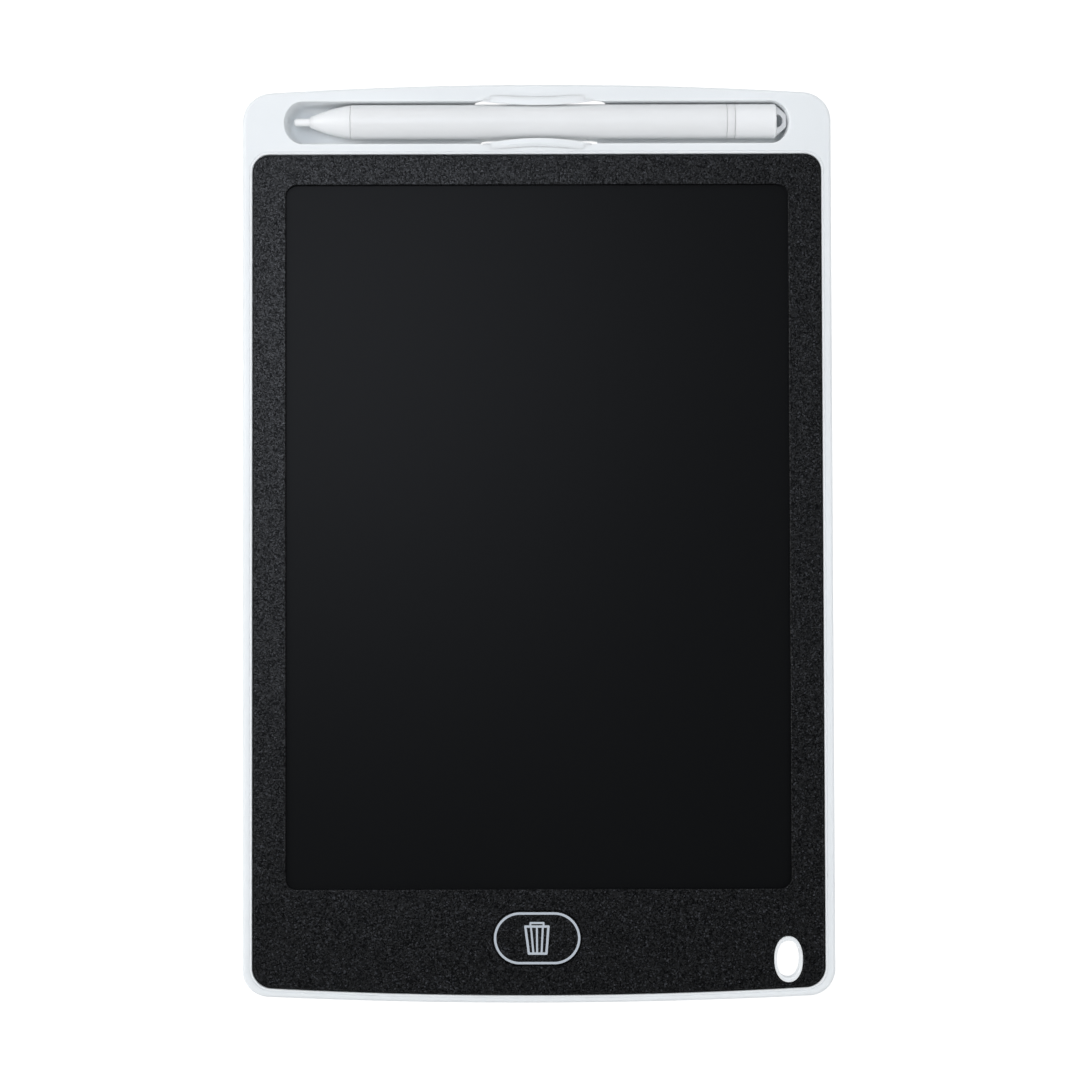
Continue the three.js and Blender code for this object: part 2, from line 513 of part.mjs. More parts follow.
// stylus: lies in the tray along X, its tip to the left
const pen = group("stylus");
const S = STYLUS_X;
const R = STYLUS_R;
add(
  "stylus_nib",
  turned(
    [
      [S.tip, 0],
      [S.tip + 0.15, 0.55],
      [S.tip + 0.6, 0.9],
      [S.tip + 1.0, 0.98],
      [S.nib + 1.5, 0.98],
      [S.nib + 1.5, 0],
    ],
    STYLUS_Y,
    TRAY_Z,
    20,
  ),
  "stylus",
  pen,
);
add(
  "stylus_nose_cone",
  turned(
    [
      [S.nib + 1.6, 0],
      [S.nib + 1.6, 1.06],
      [S.nib, 1.06],
      [S.nib, 1.25],
      [S.nib + 0.25, 1.42],
      [S.nib + 3.6, 2.62],
      [S.nib + 7.0, 3.72],
      [S.cone - 0.25, R - 0.12],
      [S.cone, R - 0.2],
      [S.cone, 3.58],
      [S.cone + 4.5, 3.5],
      [S.cone + 4.5, 0],
    ],
    STYLUS_Y,
    TRAY_Z,
    32,
  ),
  "stylus",
  pen,
);
add(
  "stylus_barrel",
  turned(
    [
      [S.cone + 0.06, 3.65],
      [S.cone + 0.06, R - 0.14],
      [S.cone + 0.2, R],
      [S.band - 0.2, R],
      [S.band - 0.05, R - 0.14],
      [S.band - 0.05, 3.65],
      [S.cone + 0.06, 3.65],
    ],
    STYLUS_Y,
    TRAY_Z,
    32,
  ),
  "stylus",
  pen,
);
add(
  "stylus_band",
  turned(
    [
      [S.band + 0.1, 3.65],
      [S.band + 0.1, R - 0.14],
      [S.band + 0.25, R],
      [S.cap - 0.25, R],
      [S.cap - 0.1, R - 0.14],
      [S.cap - 0.1, 3.65],
      [S.band + 0.1, 3.65],
    ],
    STYLUS_Y,
    TRAY_Z,
    32,
  ),
  "stylus",
  pen,
);
const capBody = turned(
  [
    [S.band - 4, 0],
    [S.band - 4, 3.5],
    [S.cap + 0.05, 3.57],
    [S.cap + 0.05, R - 0.14],
    [S.cap + 0.2, R],
    [S.end - 0.3, R - 0.06],
    [S.end, R - 0.3],
    [S.end, 0],
  ],
  STYLUS_Y,
  TRAY_Z,
  32,
);
const loop = cut(
  prism(
    new THREE.Shape([
      new THREE.Vector2(S.end - 0.5, STYLUS_Y - 3.8),
      ...arc(S.lug - 1.5, STYLUS_Y, 1.5, -Math.PI / 3.2, Math.PI / 3.2, 8),
      new THREE.Vector2(S.end - 0.5, STYLUS_Y + 3.8),
    ]),
    TRAY_Z - 1.0,
    TRAY_Z + 1.0,
  ),
  prism(new THREE.Shape([new THREE.Vector2(S.end + 0.02, STYLUS_Y - 1.6), ...arc(S.end + 0.02, STYLUS_Y, 1.65, -Math.PI / 2, Math.PI / 2, 12)]), TRAY_Z - 3, TRAY_Z + 3),
);
add("stylus_end_cap", join(capBody, loop), "stylus", pen);

export default tablet;
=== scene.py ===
import math
import random

import bmesh
import bpy
from mathutils import Matrix, Vector


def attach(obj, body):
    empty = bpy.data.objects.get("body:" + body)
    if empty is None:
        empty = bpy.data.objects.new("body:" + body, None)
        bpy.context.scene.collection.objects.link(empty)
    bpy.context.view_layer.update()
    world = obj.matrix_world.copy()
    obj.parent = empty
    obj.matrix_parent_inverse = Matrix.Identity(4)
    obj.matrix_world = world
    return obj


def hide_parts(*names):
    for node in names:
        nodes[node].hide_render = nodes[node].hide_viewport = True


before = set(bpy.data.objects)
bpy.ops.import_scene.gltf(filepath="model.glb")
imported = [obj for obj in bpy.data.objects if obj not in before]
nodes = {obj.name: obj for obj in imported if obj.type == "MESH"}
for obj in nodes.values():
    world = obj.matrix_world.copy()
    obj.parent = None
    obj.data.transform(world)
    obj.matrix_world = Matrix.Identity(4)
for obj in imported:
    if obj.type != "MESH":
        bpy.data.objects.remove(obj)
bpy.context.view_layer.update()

MM = 0.001
scene = bpy.context.scene

# ------------------------------------------------------------------ dimensions, in millimetres, as the frame has them
Z_BACK, Z_FRONT, Z_FLOOR = 3.6, 9.4, 5.0
CASE = dict(w=72.65, top=113.0, top_r=1092.0, bottom=-113.0, bottom_r=1400.0, rt=7.2, rb=6.6)
PANEL = dict(w=69.8, top=95.25, top_r=0, bottom=-110.75, bottom_r=1180.0, rt=3.8, rb=4.6)
WINDOW = dict(x0=-62.0, x1=62.0, y0=-85.3, y1=88.1, r=2.8)
TRAY_Y, TRAY_Z, TRAY_L, TRAY_W, STYLUS_Y = 103.55, 6.2, 62.4, 5.25, 104.15
CLIP_X, CLIP_L = 0.2, 13.5
CLIP_REACH, CLIP_BAND = {1: 1.0, -1: 1.3}, 2.1
GAP = 0.45
KEY = dict(x=-0.4, y=-97.2, hx=10.82, hy=6.58, a=6.6, gap=0.25)
EYE = dict(x=61.15, y=-102.5, ax=2.85, ay=4.55, bx=3.5, by=5.6, e=2.18, gap=0.33)
CELL = (-38.0, -98.5, 10.0)
DOOR = dict(x0=-50.75, x1=-19.6, y0=-109.3, y1=-87.7, r=3.0, t=1.1)
SCREW = (-22.8, -98.5)
BOARD_SCREWS = [(-13.8, -104.3), (-13.8, -93.7), (24.4, -93.2)]
LOCK = dict(y=-101.0, x0=31.6, x1=36.6, half=2.5, travel=2.0)


# ------------------------------------------------------------------ outlines: each gives a closed loop for any growth
def arc(cx, cy, r, a0, a1, n, ry=None):
    ry = r if ry is None else ry
    return [(cx + r * math.cos(a0 + (a1 - a0) * i / n), cy + ry * math.sin(a0 + (a1 - a0) * i / n)) for i in range(n + 1)]


def slab(p, n_edge=72, n_corner=22):
    def loop(g):
        x, r1, r2 = p["w"] + g, p["rt"] + g, p["rb"] + g
        bc, big = p["bottom"] + p["bottom_r"], p["bottom_r"] + g
        bx = x - r2
        by = bc - math.sqrt((big - r2) ** 2 - bx * bx)
        ab = math.atan2(by - bc, bx)
        pts = arc(0, bc, big, -math.pi - ab, ab, n_edge)
        pts += arc(bx, by, r2, ab, 0, n_corner)[1:]
        if p["top_r"]:
            tc, bt = p["top"] - p["top_r"], p["top_r"] + g
            tx = x - r1
            ty = tc + math.sqrt((bt - r1) ** 2 - tx * tx)
            at = math.atan2(ty - tc, tx)
            pts += arc(tx, ty, r1, 0, at, n_corner)
            pts += arc(0, tc, bt, at, math.pi - at, n_edge)[1:]
            pts += arc(-tx, ty, r1, math.pi - at, math.pi, n_corner)[1:]
        else:
            pts += arc(x - r1, p["top"] + g - r1, r1, 0, math.pi / 2, n_corner)
            pts += arc(-(x - r1), p["top"] + g - r1, r1, math.pi / 2, math.pi, n_corner)
        pts += arc(-bx, by, r2, math.pi, math.pi - ab, n_corner)
        return pts[:-1]

    return loop


def round_rect(x0, x1, y0, y1, r, n=12):
    def loop(g):
        q = max(r + g, 0.01)
        a, b, c, d = x0 - g, x1 + g, y0 - g, y1 + g
        return (
            arc(b - q, c + q, q, -math.pi / 2, 0, n)
            + arc(b - q, d - q, q, 0, math.pi / 2, n)
            + arc(a + q, d - q, q, math.pi / 2, math.pi, n)
            + arc(a + q, c + q, q, math.pi, 1.5 * math.pi, n)
        )

    return loop


def oval(cx, cy, hx, hy, a, n=32):
    def loop(g):
        return arc(cx + hx - a, cy, a + g, -math.pi / 2, math.pi / 2, n, hy + g) + arc(cx - hx + a, cy, a + g, math.pi / 2, 1.5 * math.pi, n, hy + g)

    return loop


def ellipse(cx, cy, ax, ay, n=96, e=2.0):
    def pw(v):
        return math.copysign(abs(v) ** (2 / e), v)

    def loop(g):
        return [(cx + (ax + g) * pw(math.cos(2 * math.pi * i / n)), cy + (ay + g) * pw(math.sin(2 * math.pi * i / n))) for i in range(n)]

    return loop


def rect(x0, x1, y0, y1):
    def loop(g):
        return [(x0 - g, y0 - g), (x1 + g, y0 - g), (x1 + g, y1 + g), (x0 - g, y1 + g)]

    return loop


def poly(*pts):
    def loop(g):
        return list(pts)

    return loop


# ------------------------------------------------------------------ mesh code
def make(name, verts, faces):
    me = bpy.data.meshes.new(name)
    me.from_pydata([tuple(v) for v in verts], [], faces)
    me.update()
    ob = bpy.data.objects.new(name, me)
    scene.collection.objects.link(ob)
    return ob


def skin(name, rings, cap=True):
    """Closed loops of equal count, joined in order. Each runs anticlockwise seen from where the next one lies."""
    n = len(rings[0])
    verts = [v for r in rings for v in r]
    faces = []
    for i in range(len(rings) - 1):
        a, b = i * n, (i + 1) * n
        for j in range(n):
            k = (j + 1) % n
            faces.append((a + j, a + k, b + k, b + j))
    if cap:
        faces.append(tuple(range(n - 1, -1, -1)))
        faces.append(tuple(range((len(rings) - 1) * n, len(rings) * n)))
    return make(name, verts, faces)


def solid(name, loop, profile):
    """profile: (growth, z) pairs from the bottom up."""
    return skin(name, [[(x, y, z) for x, y in loop(g)] for g, z in profile])


def quarter(n):
    return [math.pi / 2 * i / n for i in range(n + 1)]


def rounded(name, loop, z0, z1, rb=0.0, rt=0.0, n=7, g=0.0):
    prof = [(g - rb + rb * math.sin(t), z0 + rb - rb * math.cos(t)) for t in quarter(n)] if rb else [(g, z0)]
    prof += [(g - rt + rt * math.cos(t), z1 - rt + rt * math.sin(t)) for t in quarter(n)] if rt else [(g, z1)]
    return solid(name, loop, prof)


def cutter(loop, zb, zt, rb=0.0, rt=0.0, n=7, g=0.0, over=1.5):
    """A tool that leaves a rounded edge of radius rb or rt where it breaks through the face at zb or zt."""
    prof = []
    if rb:
        prof += [(g + rb, zb - over), (g + rb, zb - 0.003)]
        prof += [(g + rb - rb * math.sin(t), zb + rb - rb * math.cos(t)) for t in quarter(n)[1:]]
    else:
        prof += [(g, zb)]
    if rt:
        prof += [(g + rt - rt * math.cos(t), zt - rt + rt * math.sin(t)) for t in quarter(n)[:-1]]
        prof += [(g + rt, zt + 0.003), (g + rt, zt + over)]
    else:
        prof += [(g, zt)]
    return solid("tool", loop, prof)


def turned(name, profile, y, z, seg=96):
    """Turned about a line along X. profile: (x, radius) pairs, from one end of the axis to the other or closed on itself."""
    closed = profile[0][1] > 0
    pts = profile[:-1] if closed and profile[0] == profile[-1] else profile
    verts, rows = [], []
    for x, r in pts:
        if r <= 1e-6:
            rows.append([len(verts)])
            verts.append((x, y, z))
        else:
            rows.append(list(range(len(verts), len(verts) + seg)))
            verts += [(x, y + r * math.cos(2 * math.pi * k / seg), z + r * math.sin(2 * math.pi * k / seg)) for k in range(seg)]
    faces = []
    pairs = list(zip(rows, rows[1:])) + ([(rows[-1], rows[0])] if closed else [])
    for a, b in pairs:
        for k in range(seg):
            m = (k + 1) % seg
            if len(a) == 1 and len(b) == 1:
                continue
            if len(a) == 1:
                faces.append((a[0], b[k], b[m]))
            elif len(b) == 1:
                faces.append((a[k], b[0], a[m]))
            else:
                faces.append((a[k], b[k], b[m], a[m]))
    ob = make(name, verts, faces)
    outward(ob)
    return ob


def outward(ob):
    bm = bmesh.new()
    bm.from_mesh(ob.data)
    bmesh.ops.recalc_face_normals(bm, faces=bm.faces)
    if bm.calc_volume(signed=True) < 0:
        bmesh.ops.reverse_faces(bm, faces=bm.faces)
    bm.to_mesh(ob.data)
    bm.free()


def combine(base, steps):
    """steps: ("+" or "-", tool) in order. The tools are used up."""
    for i, (op, tool) in enumerate(steps):
        m = base.modifiers.new(f"step{i}", "BOOLEAN")
        m.operation = "UNION" if op == "+" else "DIFFERENCE"
        m.solver = "MANIFOLD"
        m.object = tool
        tool.hide_render = True
    dg = bpy.context.evaluated_depsgraph_get()
    me = bpy.data.meshes.new_from_object(base.evaluated_get(dg))
    old = base.data
    base.modifiers.clear()
    base.data = me
    bpy.data.meshes.remove(old)
    for _, tool in steps:
        tm = tool.data
        bpy.data.objects.remove(tool)
        bpy.data.meshes.remove(tm)
    if len(me.polygons) == 0:
        raise RuntimeError(base.name + " came out empty")
    return base


def tidy(ob, sharp=36.0, weighted=True):
    """Welds, scales to metres and shades: round edges smooth, flats flat."""
    bm = bmesh.new()
    bm.from_mesh(ob.data)
    bmesh.ops.remove_doubles(bm, verts=bm.verts, dist=0.0008)
    bmesh.ops.dissolve_degenerate(bm, edges=bm.edges, dist=0.0005)
    bmesh.ops.scale(bm, vec=(MM, MM, MM), verts=bm.verts)
    bm.to_mesh(ob.data)
    bm.free()
    ob.data.polygons.foreach_set("use_smooth", [True] * len(ob.data.polygons))
    ob.data.set_sharp_from_angle(angle=math.radians(sharp))
    ob.data.update()
    if weighted:
        w = ob.modifiers.new("flat_faces_stay_flat", "WEIGHTED_NORMAL")
        w.keep_sharp = True
        w.weight = 60
    return ob


def cyl_loop(x, y, r, n=72):
    return ellipse(x, y, r, r, n)


# ------------------------------------------------------------------ materials
def material(name, **sockets):
    m = bpy.data.materials.new(name)
    m.use_nodes = True
    b = m.node_tree.nodes["Principled BSDF"]
    for k, v in sockets.items():
        b.inputs[k.replace("_", " ")].default_value = v
    return m, m.node_tree, b


def node(tree, kind, loc=(0, 0), **props):
    n = tree.nodes.new(kind)
    n.location = loc
    for k, v in props.items():
        setattr(n, k, v)
    return n


def coords(tree):
    return node(tree, "ShaderNodeTexCoord", (-1400, 0)).outputs["Object"]


def noise_tex(tree, vec, scale, detail=3.0, rough=0.55, loc=(-1000, 0)):
    n = node(tree, "ShaderNodeTexNoise", loc)
    n.inputs["Scale"].default_value = scale
    n.inputs["Detail"].default_value = detail
    n.inputs["Roughness"].default_value = rough
    tree.links.new(vec, n.inputs["Vector"])
    return n.outputs["Fac"]


def ramp(tree, fac, stops, loc=(-700, 0)):
    n = node(tree, "ShaderNodeValToRGB", loc)
    el = n.color_ramp.elements
    el[0].position, el[0].color = stops[0][0], (*stops[0][1], 1) if len(stops[0][1]) == 3 else stops[0][1]
    el[1].position, el[1].color = stops[-1][0], (*stops[-1][1], 1) if len(stops[-1][1]) == 3 else stops[-1][1]
    for p, c in stops[1:-1]:
        e = el.new(p)
        e.color = (*c, 1)
    tree.links.new(fac, n.inputs["Fac"])
    return n.outputs["Color"]


def spread(tree, fac, lo, hi, a=0.3, b=0.7, loc=(-700, -200)):
    n = node(tree, "ShaderNodeMapRange", loc)
    n.inputs["From Min"].default_value = a
    n.inputs["From Max"].default_value = b
    n.inputs["To Min"].default_value = lo
    n.inputs["To Max"].default_value = hi
    tree.links.new(fac, n.inputs["Value"])
    return n.outputs["Result"]


def bump(tree, height, strength, dist, prev=None, loc=(-300, -400)):
    n = node(tree, "ShaderNodeBump", loc)
    n.inputs["Strength"].default_value = strength
    n.inputs["Distance"].default_value = dist
    tree.links.new(height, n.inputs["Height"])
    if prev is not None:
        tree.links.new(prev, n.inputs["Normal"])
    return n.outputs["Normal"]


def plastic(name, color, rough, grain=2200.0, grain_strength=0.12, grain_depth=0.00003, tint=0.02, rough_spread=0.05, wave=0.00004, **extra):
    """Moulded plastic: a faint flow in the colour, a worn-in gloss, a fine grain and a slow waviness of the skin."""
    m, t, b = material(name, **extra)
    v = coords(t)
    big = noise_tex(t, v, 22.0, 2.0, 0.5, (-1000, 200))
    lo = tuple(c * (1 - tint) for c in color)
    hi = tuple(min(1.0, c * (1 + tint)) for c in color)
    t.links.new(ramp(t, big, [(0.3, lo), (0.7, hi)], (-700, 300)), b.inputs["Base Color"])
    mid = noise_tex(t, v, 130.0, 4.0, 0.6, (-1000, -50))
    t.links.new(spread(t, mid, rough - rough_spread, rough + rough_spread), b.inputs["Roughness"])
    fine = noise_tex(t, v, grain, 3.0, 0.6, (-1000, -350))
    n1 = bump(t, noise_tex(t, v, 14.0, 1.0, 0.4, (-1000, -600)), 0.25, wave, None, (-500, -600))
    t.links.new(bump(t, fine, grain_strength, grain_depth, n1), b.inputs["Normal"])
    return m


def face_texture(name):
    """Black plastic with a spark-eroded texture: small facets at random tilts, some of which catch the light, and a few
    cells painted lighter in the base colour as painted glints.
    """
    m, t, b = material(name, Specular_IOR_Level=0.27)
    v = coords(t)
    big = noise_tex(t, v, 1900.0, 2.0, 0.65, (-1100, 300))
    cell = node(t, "ShaderNodeTexVoronoi", (-1100, 0))
    cell.inputs["Scale"].default_value = 3300.0
    t.links.new(v, cell.inputs["Vector"])
    grey = node(t, "ShaderNodeSeparateColor", (-900, 0))
    t.links.new(cell.outputs["Color"], grey.inputs["Color"])
    # painted glints: the rare cells at the top of this ramp get a lighter base colour, standing in for facets that
    # catch the light
    base_and_painted_glints = ramp(t, grey.outputs["Red"], [(0.0, (0.0001, 0.0002, 0.0004)), (0.78, (0.0005, 0.0007, 0.0010)), (0.92, (0.0060, 0.0066, 0.0082)), (1.0, (0.039, 0.041, 0.047))], (-550, 300))
    t.links.new(base_and_painted_glints, b.inputs["Base Color"])
    t.links.new(spread(t, grey.outputs["Green"], 0.25, 0.37, 0.0, 1.0), b.inputs["Roughness"])
    t.links.new(spread(t, grey.outputs["Blue"], 0.10, 0.54, 0.25, 1.0, (-400, 0)), b.inputs["Specular IOR Level"])
    n1 = bump(t, grey.outputs["Blue"], 0.35, 0.00004, None, (-500, -600))
    t.links.new(bump(t, big, 0.80, 0.00010, n1), b.inputs["Normal"])
    return m


def film_material(name):
    """Satin film over a near-black liquid crystal: a slow unevenness, hair scratches and a few rubbed patches."""
    m, t, b = material(name, Specular_IOR_Level=0.118)
    v = coords(t)
    big = noise_tex(t, v, 9.0, 2.0, 0.5, (-1100, 300))
    t.links.new(ramp(t, big, [(0.25, (0.0013, 0.0016, 0.0020)), (0.75, (0.0019, 0.0022, 0.0026))], (-700, 300)), b.inputs["Base Color"])
    stretch = node(t, "ShaderNodeMapping", (-1250, -300))
    stretch.inputs["Rotation"].default_value = (0, 0, math.radians(18))
    stretch.inputs["Scale"].default_value = (1.0, 0.035, 1.0)
    t.links.new(v, stretch.inputs["Vector"])
    hair = noise_tex(t, stretch.outputs["Vector"], 900.0, 2.0, 0.7, (-1000, -300))
    scr = spread(t, hair, 0.0, 1.0, 0.66, 0.78, (-800, -300))
    patch = spread(t, noise_tex(t, v, 28.0, 2.0, 0.5, (-1000, -550)), 0.0, 1.0, 0.5, 0.7, (-800, -550))
    both = node(t, "ShaderNodeMath", (-600, -400), operation="MULTIPLY")
    t.links.new(scr, both.inputs[0])
    t.links.new(patch, both.inputs[1])
    t.links.new(spread(t, both.outputs[0], 0.36, 0.50, 0.0, 1.0, (-400, -100)), b.inputs["Roughness"])
    n1 = bump(t, both.outputs[0], 0.10, 0.00002, None, (-400, -600))
    fine = noise_tex(t, v, 5200.0, 2.0, 0.5, (-1000, -800))
    t.links.new(bump(t, fine, 0.06, 0.00001, n1), b.inputs["Normal"])
    return m


def metal(name, color, rough, brush=(1.0, 1.0, 1.0), scale=1800.0, strength=0.12):
    m, t, b = material(name, Metallic=1.0)
    v = coords(t)
    mp = node(t, "ShaderNodeMapping", (-1200, 0))
    mp.inputs["Scale"].default_value = brush
    t.links.new(v, mp.inputs["Vector"])
    n = noise_tex(t, mp.outputs["Vector"], scale, 4.0, 0.6, (-1000, 0))
    big = noise_tex(t, v, 160.0, 3.0, 0.6, (-1000, 300))
    t.links.new(ramp(t, big, [(0.3, tuple(c * 0.86 for c in color)), (0.7, color)], (-700, 300)), b.inputs["Base Color"])
    t.links.new(spread(t, n, rough - 0.08, rough + 0.08), b.inputs["Roughness"])
    t.links.new(bump(t, n, strength, 0.00002), b.inputs["Normal"])
    return m


def board_material(name):
    """Solder mask over copper: tracks show as paler green lines."""
    m, t, b = material(name, Coat_Weight=0.35, Coat_Roughness=0.15)
    v = coords(t)
    br = node(t, "ShaderNodeTexBrick", (-1000, 200))
    br.inputs["Scale"].default_value = 420.0
    br.inputs["Mortar Size"].default_value = 0.03
    br.inputs["Color1"].default_value = (0.010, 0.085, 0.035, 1)
    br.inputs["Color2"].default_value = (0.013, 0.105, 0.045, 1)
    br.inputs["Mortar"].default_value = (0.03, 0.19, 0.085, 1)
    t.links.new(v, br.inputs["Vector"])
    t.links.new(br.outputs["Color"], b.inputs["Base Color"])
    n = noise_tex(t, v, 900.0, 2.0, 0.5, (-1000, -200))
    t.links.new(spread(t, n, 0.28, 0.42), b.inputs["Roughness"])
    t.links.new(bump(t, br.outputs["Fac"], 0.2, 0.00003), b.inputs["Normal"])
    return m


SSS = dict(Subsurface_Weight=1.0, Subsurface_Radius=(1.0, 1.0, 1.0), Subsurface_Scale=0.0007)
SSS_PEN = dict(SSS, Subsurface_Scale=0.0009)
MAT = {
    "case": plastic("white_abs", (0.825, 0.846, 0.858), 0.40, 2400.0, 0.10, **SSS),
    "lug": plastic("white_abs_lug", (0.825, 0.846, 0.858), 0.36, 2400.0, 0.07, **SSS),
    "stylus": plastic("milky_white_plastic", (0.868, 0.876, 0.882), 0.34, 1900.0, 0.08, 0.00003, 0.02, **SSS_PEN),
    "nib": plastic("nib_plastic", (0.875, 0.88, 0.885), 0.28, 1900.0, 0.06, **SSS_PEN),
    "slider": plastic("slider_plastic", (0.70, 0.715, 0.725), 0.42, 2600.0, 0.15),
    "face": face_texture("black_textured_plastic"),
    "film": film_material("writing_film"),
    "ink": plastic("grey_ink", (0.46, 0.50, 0.55), 0.46, 3200.0, 0.2, 0.00002, 0.03, 0.04),
    "tape": plastic("black_tape", (0.02, 0.02, 0.022), 0.6, 3000.0, 0.2),
    "foam": plastic("grey_foam", (0.06, 0.06, 0.065), 0.85, 1600.0, 0.8, 0.0002),
    "chip": plastic("black_epoxy", (0.018, 0.018, 0.02), 0.48, 5200.0, 0.3),
    "ceramic": plastic("chip_ceramic", (0.34, 0.21, 0.12), 0.4, 4200.0, 0.2),
    "polyimide": plastic("amber_film", (0.42, 0.17, 0.04), 0.28, 3000.0, 0.1),
    "steel": metal("nickelled_steel", (0.66, 0.65, 0.62), 0.30),
    "screw": metal("zinc_screw", (0.70, 0.70, 0.70), 0.26, (1, 1, 1), 2600.0, 0.15),
    "tin": metal("tinned_spring", (0.70, 0.68, 0.62), 0.34, (1.0, 0.08, 1.0), 2200.0, 0.2),
    "board": board_material("solder_mask"),
}


def piece(ob, body, look, replaces=None, sharp=36.0):
    tidy(ob, sharp)
    ob.data.materials.clear()
    ob.data.materials.append(MAT[look])
    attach(ob, body)
    if replaces:
        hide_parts(replaces)
    return ob


